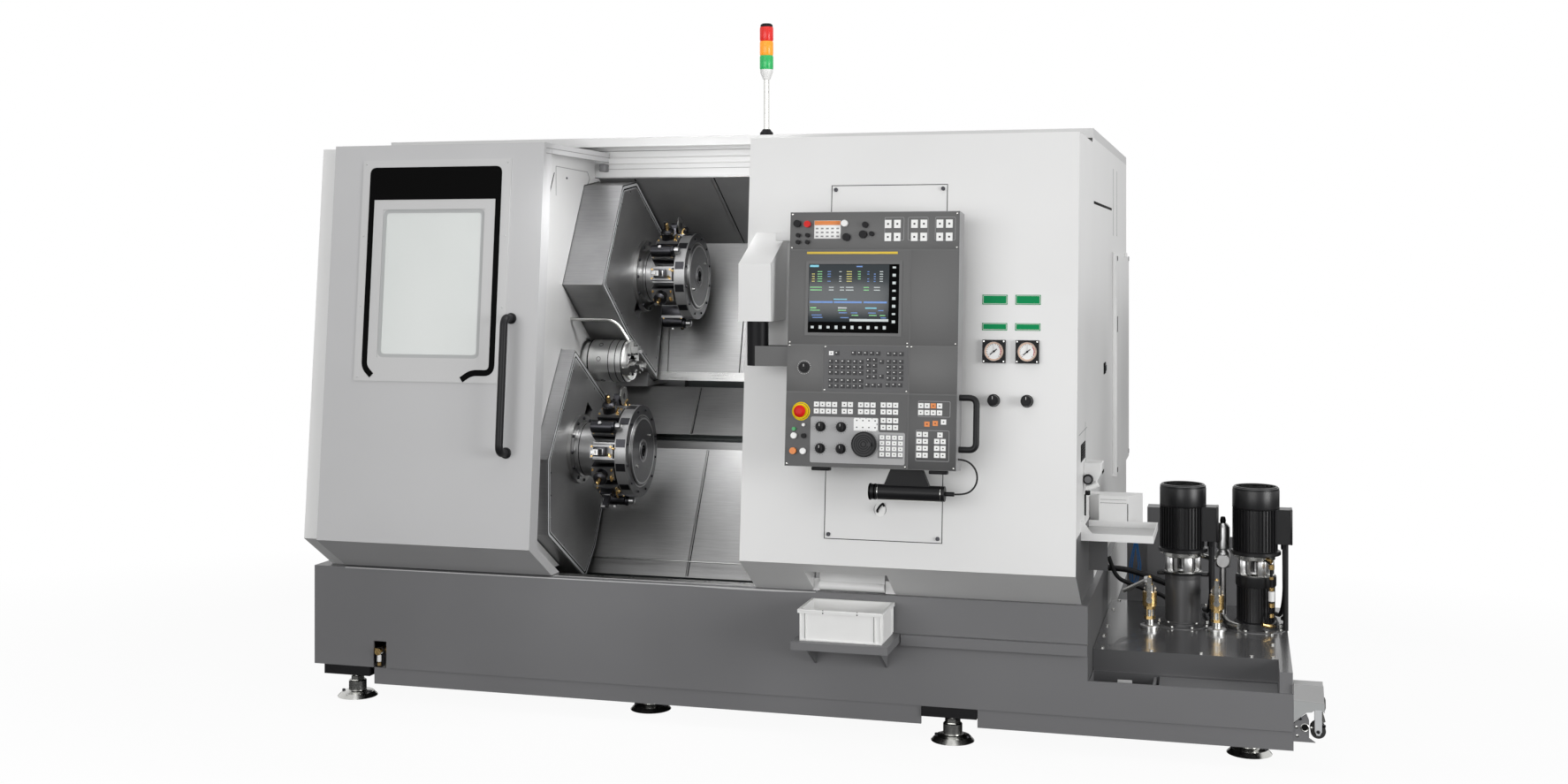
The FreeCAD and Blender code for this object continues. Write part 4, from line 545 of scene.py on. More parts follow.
def repeat_tree():
    """Stands a small shape on every spot, turned and sized as the spot's attributes say."""
    tree = bpy.data.node_groups.new("small parts on spots", "GeometryNodeTree")
    for name, kind, way in (("Spots", "Geometry", "INPUT"), ("Shape", "Object", "INPUT"),
                            ("Finish", "Material", "INPUT"), ("Parts", "Geometry", "OUTPUT")):
        tree.interface.new_socket(name, in_out=way, socket_type="NodeSocket" + kind)

    def node(kind, *links):
        made = tree.nodes.new(kind)
        for socket, source, output in links:
            tree.links.new(source.outputs[output], made.inputs[socket])
        return made

    def attribute(name):
        made = node("GeometryNodeInputNamedAttribute")
        made.data_type = "FLOAT_VECTOR"
        made.inputs["Name"].default_value = name
        return made

    given = node("NodeGroupInput")
    shape = node("GeometryNodeObjectInfo", ("Object", given, "Shape"))
    parts = node("GeometryNodeInstanceOnPoints", ("Points", given, "Spots"),
                 ("Instance", shape, "Geometry"), ("Rotation", attribute("turn"), "Attribute"),
                 ("Scale", attribute("size"), "Attribute"))
    parts = node("GeometryNodeRealizeInstances", ("Geometry", parts, "Instances"))
    parts = node("GeometryNodeSetMaterial", ("Geometry", parts, "Geometry"),
                 ("Material", given, "Finish"))
    node("NodeGroupOutput", ("Parts", parts, "Geometry"))
    return tree


REPEAT = repeat_tree()


def small_shape(name, levels=(), corners=()):
    """A small shape for the repeats, not shown itself: corners at each (width, height)."""
    part = bmesh.new()
    if levels:
        close_up(part, [[part.verts.new((x * r, y * r, z)) for x, y in corners]
                        for r, z in levels])
    else:
        bmesh.ops.create_cube(part, size=1)
    bmesh.ops.recalc_face_normals(part, faces=part.faces[:])
    soften(part, 0.5)
    mesh = bpy.data.meshes.new(name)
    part.to_mesh(mesh)
    part.free()
    return bpy.data.objects.new(name, mesh)


SHAPES = {
    "cap screw": small_shape("cap_screw_shape", [(1, 0), (1, 0.8), (0.88, 1), (0.5, 1),
                                                 (0.5, 0.35)], circle(12, 1)),
    "dome screw": small_shape("dome_screw_shape", [(1, 0), (0.92, 0.45), (0.6, 0.8), (0.2, 0.9)],
                              circle(12, 1)),
    "hex head": small_shape("hex_head_shape", [(1, 0), (1, 0.7), (0.9, 0.8)], circle(6, 1)),
    "dot": small_shape("dot_shape", [(1, 0), (1, 0.5), (0.8, 1)], circle(8, 1)),
    "rib": small_shape("rib_shape"),
}


def repeat(name, body, shape, finish, spots, place=WORLD):
    """spots: (point, turn in degrees, size)."""
    mesh = bpy.data.meshes.new(name + "_spots")
    mesh.from_pydata([s[0] for s in spots], [], [])
    turns, sizes = [mesh.attributes.new(kind, "FLOAT_VECTOR", "POINT")
                    for kind in ("turn", "size")]
    for i, (_, turn, size) in enumerate(spots):
        turns.data[i].vector = [math.radians(t) for t in turn]
        sizes.data[i].vector = size if isinstance(size, tuple) else (size,) * 3
    carrier = shown(name, mesh)
    modifier = carrier.modifiers.new("parts", "NODES")
    modifier.node_group = REPEAT
    for item in REPEAT.interface.items_tree:
        if item.name in ("Shape", "Finish"):
            modifier[item.identifier] = SHAPES[shape] if item.name == "Shape" else M[finish]
    view = bpy.context.evaluated_depsgraph_get()
    result = bpy.data.meshes.new_from_object(carrier.evaluated_get(view), depsgraph=view)
    carrier.modifiers.remove(modifier)
    result.name = name
    result.transform(place)
    carrier.data = result
    bpy.data.meshes.remove(mesh)
    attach(carrier, body)


FACE_FRONT = (90, 0, 0)
FACE_RIGHT = (0, 90, 0)
FACE_UP = (0, 0, 0)


def front_screws(name, body, points, radius, finish="oxide", place=FRONT, level=0.0,
                 shape="cap screw"):
    repeat(name, body, shape, finish, [((x, level, z), FACE_FRONT, radius) for x, z in points],
           place)


def ring_of(axis, centre, count, radius, size, phase=0.0, turn=None):
    """Spots round an axis. Without a turn they point away from it."""
    spots = []
    for a, b in circle(count, radius, phase):
        out = math.degrees(math.atan2(b, a))
        spots.append((spot(axis, centre, 0, a, b),
                      turn or ((0, -out, 0) if axis == "y" else (0, 0, out)), size))
    return spots


# Finishes of the nodes that keep their own shape

for finish, nodes in {
        "cover white": ("left_cover", "front_cover", "cabinet_shell", "chute_flap",
                        "pendant_bracket", "service_door"),
        "roof white": ("roof_panel",),
        "wall white": ("inner_wall",),
        "base grey": ("base_frame",),
        "door grey": ("door_shell",),
        "door plate": ("window_frame",),
        "glass": ("window_glass",),
        "cast": ("slant_bed",),
        "ground": ("counter_headstock", "pump_shaft_1", "pump_shaft_2"),
        "spindle dull": ("headstock",),
        "spindle turned": ("counter_chuck",),
        "black plastic": ("regulator_knob_1", "regulator_knob_2"),
        "upper dull": ("upper_turret_arm",),
        "lower dull": ("lower_turret_arm",)}.items():
    for node in nodes:
        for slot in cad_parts[node].material_slots:
            slot.material = M[finish]


# Camera, light and floor

def stand(name, data, place, turn):
    thing = shown(name, data)
    thing.location = place
    thing.rotation_euler = turn
    return thing


def camera():
    lens = bpy.data.cameras.new("camera")
    film, focal, photo_width = 36, 1895, 1774
    lens.sensor_width = film
    lens.lens = focal / photo_width * film
    lens.shift_x = -0.001
    lens.shift_y = -0.0834
    lens.clip_end = 200
    bpy.context.scene.camera = stand("camera", lens, (1.5597, -6.62436, 1.6527),
                                     (math.radians(90), 0, math.radians(15.2)))


def studio():
    scene = bpy.context.scene
    scene.view_settings.view_transform = "Standard"
    for name, place, aim, wide, high, power in (
            ("front_softbox", (-2.0, -9.0, 2.2), (-0.2, -1.0, 1.1), 8.0, 3.6, 292),
            ("right_softbox", (8.4, -4.8, 1.9), (0.6, -0.4, 1.1), 4.0, 3.4, 400),
            ("top_softbox", (0.2, -2.0, 5.8), (0, 0, 1.0), 5.0, 3.5, 60),
            ("working_area_lamp", (-0.36, -1.02, 1.93), (-0.5, -0.3, 1.2), 0.7, 0.12, 6)):
        light = bpy.data.lights.new(name, "AREA")
        light.shape = "RECTANGLE"
        light.size = wide
        light.size_y = high
        light.energy = power
        way = Vector(aim) - Vector(place)
        stand(name, light, place, way.to_track_quat("-Z", "Y").to_euler()).visible_camera = False
    scene.world = bpy.data.worlds.new("studio")
    s = Shade(scene.world, "World")
    rays = s.node("ShaderNodeLightPath", {}, {}).socket.node.outputs
    seen, through, mirrored = (Value(s, rays["Is %s Ray" % kind])
                               for kind in ("Camera", "Transmission", "Glossy"))
    bright = s.node("ShaderNodeMapRange", {}, {
        "Value": seen.math("MAXIMUM", through).math("MAXIMUM", mirrored), "To Min": 0.36,
        "To Max": 1.0})
    s.finish(s.node("ShaderNodeBackground", {}, {"Color": (1, 1, 1, 1), "Strength": bright}))


def floor():
    """A pale floor that the camera sees almost white."""
    s = new_shade("pale_floor")
    rays = s.node("ShaderNodeLightPath", {}, {}, "Is Camera Ray")
    speck = s.noise(3.0)
    x, y = s.axes()[:2]
    across = x * 0.62
    far = ((across * across + y * y).math("SQRT") - 1.9) * 0.9
    far = s.ramp(far, 0.0, 1.0)
    pale = s.blend(speck, (0.90, 0.90, 0.90), (0.93, 0.93, 0.93))
    dull = s.node("ShaderNodeBsdfDiffuse", {}, {"Color": s.blend(rays, (0.16, 0.16, 0.16), pale)})
    glow = s.node("ShaderNodeEmission", {}, {"Color": (1, 1, 1, 1), "Strength": 1.0})
    s.finish(s.node("ShaderNodeMixShader", {}, {0: rays * (far * 0.06 + 0.94), 1: dull,
                                                2: glow}))
    mesh = bpy.data.meshes.new("floor")
    mesh.from_pydata([(-30, -30, 0), (30, -30, 0), (30, 60, 0), (-30, 60, 0)], [],
                     [(0, 1, 2, 3)])
    mesh.materials.append(s.owner)
    shown("floor", mesh)


# Cords

LAMP_LINE = (-287, 899)


def cord(name, points, thick, body, node):
    """A rubber cord along a line. Thickness and length are metres."""
    line = bpy.data.curves.new(name, "CURVE")
    line.dimensions = "3D"
    line.bevel_depth = thick / 2
    line.bevel_resolution = 5
    line.resolution_u = 24
    line.use_fill_caps = True
    spline = line.splines.new("NURBS")
    spline.points.add(len(points) - 1)
    for held, point in zip(spline.points, points):
        held.co = (*(WORLD @ Vector(point)), 1)
    spline.order_u = 3
    spline.use_endpoint_u = True
    line.materials.append(M["rubber"])
    piece = shown(name, line)
    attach(piece, body)
    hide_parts(node)
    WORLD @ Vector(points[0])


def cords():
    cord("coolant_hose_tube", [
        (2892, 899, 472), (2950, 899, 472), (3020, 899, 455), (3090, 899, 430), (3147, 866, 415),
        (3180, 810, 405), (3180, 745, 405)], 0.022, "machine", "coolant_hose")
    x, (y, z) = 2504, LAMP_LINE
    cord("lamp_cord_tube", [
        (x, y, z + 113), (x + 23.7, y, z + 113), (x + 53.4, y, z + 91.4), (x + 64.7, y, z + 56.5),
        (x + 53.4, y, z + 21.6), (x + 23.7, y, z), (x - 13, y, z)], 0.006,
         "pendant", "lamp_cord")


# Door

def door_details():
    line = Piece("door_frame_line", "door", FRONT)
    line.plate("black gloss", "y", -4.7, 0.7, [(266, 1254), (797, 1254)] + rounded(
        [(797, 1254), (797, 1375), (266, 1375), (266, 1254)], 26)[1:-1])
    for side in ([(277, 1256), (277, 636), (308, 606)],
                 [(786, 1256), (786, 622), (706, 622), (668, 596)]):
        line.band("black gloss", "y", -4.7, 0.7, side, 22, 30)
    line.done("black_paint")
    seal = Piece("window_seal", "door", FRONT)
    for x0, x1, corner, wide, level, tone in ((330, 730, 26, 18, -1.2, "pane border"),
                                              (322, 738, 30, 8, -1.5, "door plate")):
        wider = 330 - x0
        seal.band(tone, "y", level, 1.0, rounded(
            rectangle(x0, x1, 677 - wider, 1214 + wider), corner, True), wide, 0, True)
    seal.done("door_grey")
    grip = Piece("door_handle_bar", "door", FRONT)
    grip.tube("black paint", [(854, 0, 339), (854, -62, 339), (854, -62, 820), (854, 0, 820)],
              14, 42, 20)
    for z in (339, 820):
        grip.lathe("black paint", "y", (854, 0, z), [(0, 20), (-5, 20), (-7, 17), (-7, 13)], 24)
    grip.nodes.append("door_handle")
    grip.done("black_paint")
    front_screws("window_frame_screws", "door",
                 [(x, z) for x in (250, 818) for z in (600, 860, 1120, 1388)], 3.2, "door grey",
                 level=-4.0, shape="dome screw")
    roof = Piece("door_roof_lines", "door")
    for z in (2044, 2063):
        roof.box("seam grey", 956.2, 957.2, -24, 606, z, z + 2.2, 0.2)
    roof.box("grey plastic", 930, 955, 560, 604, 2008, 2038, 3)
    roof.done("door_grey")


# Front cover, its hatch, gauges and signs

GAUGES = (2596, 2706)
GAUGE_HEIGHT = 726


def cover_details():
    line = Piece("hatch_seal", "machine", FRONT)
    line.band("hole", "y", -0.25, 0.5, rectangle(2029.6, 2430.4, 88.6, 1287.4), 2.6, 0, True)
    line.done("rubber")
    front_screws("hatch_screws", "machine",
                 [(x, z) for x in (2044, 2416) for z in (103, 1273)], 7)
    plates = Piece("cover_plate_faces", "machine", FRONT)
    plates.copy("cover_plates", lambda face:
                "cover white" if face.low.x < 2500 else
                ("green paint" if face.normal.y < -0.5 else "white plastic"))
    for x in GAUGES:
        for low, high in ((885, 912), (799, 818)):
            plates.band("white plastic", "y", -1.5, 0.3, rectangle(x - 39, x + 39, low, high),
                        1.2, 3, True)
    plates.done("cover_white")
    gauges = Piece("gauge_faces", "machine", FRONT)
    gauges.copy("gauge_cases", lambda face:
                "black plastic" if abs(face.middle.y) > 12 or abs(face.normal.y) < 0.6
                else "white plastic")
    ticks = []
    z = GAUGE_HEIGHT
    for x in GAUGES:
        gauges.collar("dial ring", "y", (x, -10.3, z), [(0.3, 25.5), (-0.5, 26), (-0.5, 31),
                                                        (0.3, 31.4)], 40)
        gauges.tube("black plastic", [(x - 13, -11.4, z - 11), (x + 10, -11.4, z + 8)], 1.5, 0, 8)
        gauges.collar("black plastic", "y", (x, -14, z), [(0.4, 32), (-1.6, 33.5), (-1.6, 35.5),
                                                          (0.4, 36)], 40)
        gauges.band("red plastic", "y", -10.4, 0.3, [
            (x + 23 * math.cos(math.radians(a)), z + 23 * math.sin(math.radians(a)))
            for a in range(-30, 41, 7)], 2.5)
        for a in range(-45, 226, 15):
            c, s = math.cos(math.radians(a)), math.sin(math.radians(a))
            ticks.append(((x + 23.5 * c, -10.6, z + 23.5 * s), (0, -a, 0),
                          (5.0 if a % 45 == 0 else 3.0, 0.6, 1.1)))
    gauges.done("black_plastic")
    repeat("gauge_ticks", "machine", "rib", "black plastic", ticks, FRONT)
    front_screws("gauge_screws", "machine", [(x + a, z + b) for x in GAUGES
                                             for a in (-33, 33) for b in (-33, 33)], 2.6,
                 "nickel", level=-14.0)
    for i, x in enumerate(GAUGES, 1):
        knob = "regulator_knob_%d" % i
        repeat("regulator_ribs_%d" % i, knob, "rib", "black plastic",
               ring_of("y", (x, -22, 564), 20, 16.9, (1.6, 15, 2.2)), FRONT)
        mark = Piece("regulator_mark_%d" % i, knob, FRONT)
        mark.box("white plastic", x - 0.8, x + 0.8, -34.3, -33.8, 568, 577, 0.1)
        mark.done("white_plastic")
        ring = Piece("regulator_ring_%d" % i, "machine", FRONT)
        ring.collar("black plastic", "y", (x, 0, 564), [(0, 21), (-3, 21), (-4, 19.5), (-4, 18.5),
                                                        (0, 18.5)])
        ring.done("black_plastic")
    latch = Piece("hatch_latch", "machine", FRONT)
    latch.plate("white plastic", "y", -2.4, 2.4,
                [(2220 + a, 192 + b * 1.25) for a, b in circle(32, 19)], edge=0.5)
    latch.collar("seam grey", "y", (2220, 0, 192), [(-2.2, 20), (-0.4, 20), (-0.4, 21.5),
                                                    (-2.2, 21.5)])
    latch.tube("black plastic", [(2212, -3, 184), (2212, -11, 190), (2222, -15, 204),
                                 (2232, -12, 214), (2234, -6, 204)], 3.6, 8, 10)
    latch.done("nickel")


# Headstock, chuck and jaws

def far_from(line, point):
    """How far a point is from a line that runs along X."""
    return math.hypot(point.y - line[0], point.z - line[1])


def chuck_details():
    y, z = SPINDLE
    piece = Piece("chuck_body", "chuck")

    def tone(face):
        if face.middle.x < 900 or face.normal.x < -0.7:
            return "oxide"
        return "spindle turned" if far_from(SPINDLE, face.middle) > 30 else "hole"

    piece.copy("chuck", tone)
    for along, wide in ((926, 5), (1012, 3), (1040, 3), (1064, 4)):
        piece.collar("hole", "x", (along, y, z), [(0, 82.1), (0, 82.4), (wide, 82.4),
                                                  (wide, 82.1)], 64)
    for jaw in range(3):
        for side in (-1, 1):
            turn = Matrix.Translation((0, y, z)) @ Matrix.Rotation(
                math.radians(120 * jaw + 60 + 22 * side), 4, "X")
            piece.lathe("hole", "z", (975, 0, 81.2), [(0, 9), (1.3, 9), (1.6, 7.5), (0.2, 7),
                                                      (0.2, 0)], 16, turn)
    piece.done("machined")
    face = (1085.3, y, z)
    repeat("chuck_screws", "chuck", "cap screw", "oxide",
           ring_of("x", face, 6, 52, 5.5, 0.5, FACE_RIGHT)
           + ring_of("x", face, 12, 34, 3.2, 0.5, FACE_RIGHT))
    for i in (1, 2, 3):
        jaw = Piece("jaw_%d_body" % i, "jaw_%d" % i)
        jaw.copy("chuck_jaw_%d" % i,
                 lambda face: "spindle dull" if face.middle.x < 1100 else "ground")
        jaw.done("machined")
    nose = Piece("spindle_nose_ring", "machine")
    nose.collar("oxide", "x", (884, y, z), [(0, 84.5), (0, 96), (4, 96), (5.5, 94), (5.5, 84.5)],
                6)
    nose.done("black_paint")
    repeat("spindle_nose_screws", "machine", "cap screw", "ground",
           ring_of("x", (883.5, y, z), 6, 89, 5, 0.5, (0, -90, 0)))


# Turret housings, their arms, drums, discs and tools

UPPER_HOUSE = [(-260, 356), (-478, -28), (-195, -242), (140, -427), (290, 135), (-100, 378)]
LOWER_HOUSE = [(-49, 380), (-309, -6), (-309, -283), (56, -506), (163, -398), (356, -33),
               (371, 117)]
KINDS = ["turning", "saw", "driven", "boring", "turning", "driven", "turning", "boring", "driven",
         "turning", "boring", "turning"]


def shrunk(outline, inset):
    """A closed outline drawn in by a distance."""
    out = []
    count = len(outline)
    area = sum(outline[i][0] * outline[(i + 1) % count][1]
               - outline[(i + 1) % count][0] * outline[i][1] for i in range(count))
    way = 1 if area > 0 else -1
    for i in range(count):
        a, b, c = (Vector(outline[(i + k) % count]) for k in (-1, 0, 1))
        one, two = (b - a).normalized(), (c - b).normalized()
        inner = Vector((-one.y, one.x)) * way + Vector((-two.y, two.x)) * way
        inner /= max(0.2, 1 + one.dot(two))
        out.append(tuple(b + inner * inset))
    return out


def along(outline, pitch, inset):
    """Points at an even pitch round an outline, set in from it."""
    out = []
    ring = shrunk(outline, inset)
    for a, b in zip(ring, ring[1:] + ring[:1]):
        a, b = Vector(a), Vector(b)
        count = max(1, round((b - a).length / pitch))
        out += [a.lerp(b, (i + 0.5) / count) for i in range(count)]
    return out

def housing(name, outline, line, face):
    body = name + "_carriage"
    y, z = line
    shell = Piece(name + "_housing", body)

    def choose(face):
        if face.normal.x > 0.8:
            return "stainless dark"
        # Painted light: faces turned towards the front get the lighter copy of the steel.
        if face.normal.y < -0.35 and abs(face.normal.x) < 0.1 and face.normal.z > -0.7:
            return "stainless lit face"
        return "stainless"

    shell.copy(body, choose)
    # The silver strips are painted highlights for the lit bevels of the rim. The dark strips are
    # its grooves.
    for inset, wide, tone in ((10, 9, "silver plate"), (3, 3, "hole"), (18, 4, "hole"),
                              (23, 3, "silver plate")):
        shell.band(tone, "x", face - 0.2, 0.4,
                   [(y + a, z + b) for a, b in shrunk(outline, inset)], wide, 12, True)
    shell.done("stainless")
    repeat(name + "_rim_screws", body, "dome screw", "nickel",
           [((face - 0.05, y + p.x, z + p.y), FACE_RIGHT, (4.2, 4.2, 0.25))
            for p in along(outline, 90, 32)])


def neck(name, line, face, flange, long):
    """The turned flange and sleeve between a housing and its turret drum."""
    rings = Piece(name + "_neck_rings", name + "_cross")
    rings.collar(name + " turned", "x", (face + 14.4, *line), [
        (0, flange - 14), (0, flange - 4), (1.5, flange - 6), (2.5, flange - 22),
        (0, flange - 24)], 64)
    rings.collar(name + " turned", "x", (face + 14.4, *line), [
        (0, 104), (10, 104), (13, 101), (long - 12, 101), (long - 12, 100.2), (0, 100.2)], 48)
    rings.collar("hole", "x", (face + 34, *line), [(0, 100.4), (0, 101.5), (3, 101.5),
                                                   (3, 100.4)], 48)
    rings.done("steel")
    repeat(name + "_flange_screws", name + "_cross", "cap screw", "oxide",
           ring_of("x", (face + 14.3, *line), 12, flange - 13, 6.5, 0, FACE_RIGHT))


def disc_face(name, line, start):
    """Turret drum, tool disc and cap with their screws."""
    body = name + "_turret"
    y, z = line
    piece = Piece(name + "_turret_disc", body)
    disc = start + 106
    cap = disc + 44

    def choose(face):
        reach = far_from(line, face.middle)
        if face.middle.x < disc - 1:
            return "ground" if reach > 60 else name + " turned"
        if face.normal.x > 0.8:
            return "cap grey"
        if reach < 30:
            return "hole"
        return "ground" if face.middle.x > disc + 40 else "stainless dark"

    piece.copy(body, choose)
    piece.collar(name + " turned", "x", (disc + 44.1, y, z), [
        (-0.3, 131), (1.2, 132), (1.2, 136), (-0.3, 137)], 72)
    piece.collar(name + " turned", "x", (cap + 6, y, z), [
        (-0.3, 118), (1.2, 119), (1.2, 124), (-0.3, 125)], 64)
    for outer, thick, tone in ((44, 1.4, "stainless dark"), (30, 2.6, "cap grey"),
                               (16, 3.4, "hole")):
        piece.collar(tone, "x", (cap + 6, y, z), [
            (-0.3, outer - 9), (thick, outer - 8), (thick, outer - 1), (-0.3, outer)], 48)
    piece.done("steel")
    repeat(name + "_disc_screws", body, "cap screw", "oxide",
           ring_of("x", (disc + 44, y, z), 12, 154, 4.6, 0.5, FACE_RIGHT))
    repeat(name + "_cap_screws", body, "cap screw", "nickel",
           ring_of("x", (cap + 6, y, z), 2, 86, 6.5, 0.2, FACE_RIGHT))
    flats = []
    for degrees in range(15, 360, 30):
        a = math.radians(degrees)
        flats.append(((disc + 22, y + 172 * math.cos(a), z + 172 * math.sin(a)),
                      (degrees - 90, 0, 0), (36, 30, 3.0)))
    repeat(name + "_disc_flats", body, "rib", "oxide", flats)


def tools(name, line, start, turn, blank):
    """Holders with their clamping screws, coolant nozzles, collets and inserts."""
    body = name + "_turret"
    piece = Piece(name + "_tools", body)

    def choose(face):
        reach = far_from(line, face.middle)
        if reach < 172:
            return "holder grey"
        return "oxide" if reach < 226 else "ground"

    piece.copy(name + "_tooling", choose)
    screws = []
    for i, kind in enumerate(KINDS):
        if i == blank:
            continue
        place = Matrix.Translation((start, *line)) @ Matrix.Rotation(
            math.radians(turn + 30 * i), 4, "X")
        for side in (-1, 1):
            for x in (16, 90):
                at = place @ Vector((x, 18 * side, 168))
                screws.append((tuple(at), (turn + 30 * i, 0, 0), 4.2))
        for low in (-26.2, 25.0):
            piece.box("oxide", 8.5, 98, low, low + 1.2, 120, 158, 0.3, place)
        piece.tube("brass", [(84, -12, 166), (84, -12, 180), (94, -12, 192)], 3.6, 6, 10, place)
        piece.lathe("brass", "z", (84, -12, 167), [(0, 6.5), (6, 6.5), (7, 5)], 6, place)
        if kind == "turning":
            piece.box("oxide", 30, 76, -17.4, 17.4, 186, 192, 1.2, place)
            piece.box("ground", 36, 70, -11, 11, 191.5, 194, 0.8, place)
            piece.plate("brass", "y", -7.2, 2.0, [(39, 238), (47, 227), (54, 236), (48, 242)],
                        place, 0.2)
            piece.lathe("brass", "x", (98, 12, 176), [(0, 4.4), (0.6, 5), (8.4, 5), (9, 4.4)], 12,
                        place, 40)
        elif kind == "boring":
            piece.lathe("oxide", "x", (98, 0, 188), [(-2, 21), (7, 21), (9, 18), (9, 10)], 24,
                        place)
            piece.lathe("ground", "x", (98, 0, 188), [(0, 14), (26, 13), (30, 8), (30, 0)], 20,
                        place)
            piece.lathe("silver", "z", (50, 0, 208), [(0, 6.5), (0.5, 7), (5.5, 7), (6, 6.5)], 6,
                        place)
        elif kind == "driven":
            piece.lathe("oxide", "z", (53, 0, 193), [(0, 25.5), (3, 26), (9, 26), (14, 21),
                                                     (17, 16), (17, 0)], 20, place)
            piece.lathe("nickel", "z", (53, 0, 196), [(0, 26.6), (2.5, 26.6)], 20, place)
            piece.lathe("brass", "z", (53, 0, 210), [(0, 8), (24, 7.6), (31, 0)], 12, place)
        else:
            piece.lathe("oxide", "x", (70, 0, 204), [(-2, 17), (3, 17), (5, 12), (5, 0)], 18,
                        place)
            piece.collar("nickel", "x", (71.5, 0, 204), [
                (0, 12), (0, 36), (1.0, 37.5), (2.4, 37.5), (3.4, 36), (3.4, 12)], 48, place)
    piece.done("steel")
    repeat(name + "_holder_screws", body, "cap screw", "brass", screws)


# Middle lines of the two brass valves on the tank.
VALVES = (3066, 3302)


def inside_details():
    housing("upper", UPPER_HOUSE, UPPER, 1060)
    housing("lower", LOWER_HOUSE, LOWER, 955)
    neck("upper", UPPER, 1060, 145, 58)
    neck("lower", LOWER, 955, 130, 85)
    disc_face("upper", UPPER, 1132.6)
    disc_face("lower", LOWER, 1054.6)
    tools("upper", UPPER, 1132.6, -33.69, 6)
    tools("lower", LOWER, 1054.6, -34.3, 0)
    wall_details()
    pipe_details()


def wall_details():
    """The sheets of the working area with their seams and screws."""
    walls = Piece("working_area_sheets", "machine")

    def choose(face):
        if face.low.z > 1100:
            if face.middle.z < 1200 and face.middle.y < 912:
                return "stainless bright"
            return "stainless dark" if face.middle.z > 1727 else "stainless"
        return "stainless bright" if face.high.z < 520 and face.low.z > 480 else "stainless"

    walls.copy("back_panels", choose)
    for x0, y0, z0, x1, y1, z1, tone in (
            (1097, 902, 1172, 1068, 1058, 1722, "stainless bright"),
            (1405, 902, 1172, 1405, 1058, 1722, "hole"),
            (1269, 707, 964, 1252, 883, 1132, "hole"), (1261, 707, 964, 1244, 883, 1132, "ground"),
            (1339, 442, 446, 1348, 684, 900, "hole"), (1331, 442, 446, 1340, 684, 900, "ground")):
        out = Vector((0, z0 - z1, y1 - y0)).normalized()
        walls.tube(tone, [(x0, y0 + out.y * 0.4, z0 + out.z * 0.4),
                          (x1, y1 + out.y * 0.4, z1 + out.z * 0.4)], 2.2, 0, 6)
    for x in (1052, 1383):
        walls.tube("hole", [(x, 1056, 1729.6), (x, 636, 1981.6)], 2.4, 0, 6)
        walls.tube("ground", [(x - 14, 1056, 1729.6), (x - 14, 636, 1981.6)], 1.6, 0, 6)
    # Painted highlight: a bright strip along the top edge of the rail across the working area.
    walls.box("stainless bright", 902, 2640, 434, 441, 500, 505, 1)
    walls.done("stainless")
    repeat("sill_screws", "machine", "cap screw", "oxide",
           [((x, 72, 503.9), FACE_UP, (5.2, 5.2, 0.3))
            for base in (1120, 1240, 1385, 1530, 1660) for x in (base, base + 16)])
    repeat("wall_screws", "machine", "dome screw", "oxide",
           [((900.2, y, z), FACE_RIGHT, 4.5) for y, z in (
               (-20, 1900), (-20, 1780), (-60, 1690), (-40, 1545), (-50, 1300), (-70, 1240),
               (60, 1960), (300, 1970))])
    gutter = Piece("wall_edge", "machine")
    gutter.box("stainless bright", 900.2, 903.4, -36, -28, 640, 1960, 0.8)
    gutter.done("stainless")


def pipe_details():
    pipes = Piece("coolant_pipework", "machine")

    def tone(face):
        if face.low.x < 800:
            on_front = face.high.y < 30 and face.middle.y < 2
            return "brass" if on_front or face.middle.z >= 190 else "white tube"
        upright = face.low.x >= 1300 and face.high.z - face.low.z > 100
        return "brass" if upright and 398 < face.middle.z < 460 else "nickel"

    pipes.copy("coolant_pipes", tone)
    for x in VALVES:
        pipes.lathe("brass", "z", (x, 560, 356), [(0, 20), (10, 20), (12, 18), (34, 18),
                                                  (36, 20), (46, 20)], 6)
        pipes.lathe("silver", "z", (x, 560, 320), [(8, 34), (14, 34), (16, 30), (16, 18)], 24)
        pipes.lathe("brass", "z", (x, 560, 478), [(0, 12), (6, 12), (8, 9), (28, 8), (34, 3),
                                                  (34, 0)], 16)
        pipes.lathe("silver", "y", (x, 592, 460), [(0, 22), (8, 22), (9, 18), (20, 18)], 6)
    pipes.done("brass")
    for i in (1, 2):
        lever = Piece("valve_handle_%d" % i, "valve_lever_%d" % i)
        lever.copy("valve_lever_%d" % i, lambda face:
                   "blue tube" if face.middle.z > 455 else "nickel")
        lever.done("brass")


# Control pendant

STOP = (52, 0, 180)
JOG = (269, 0, 77.5)


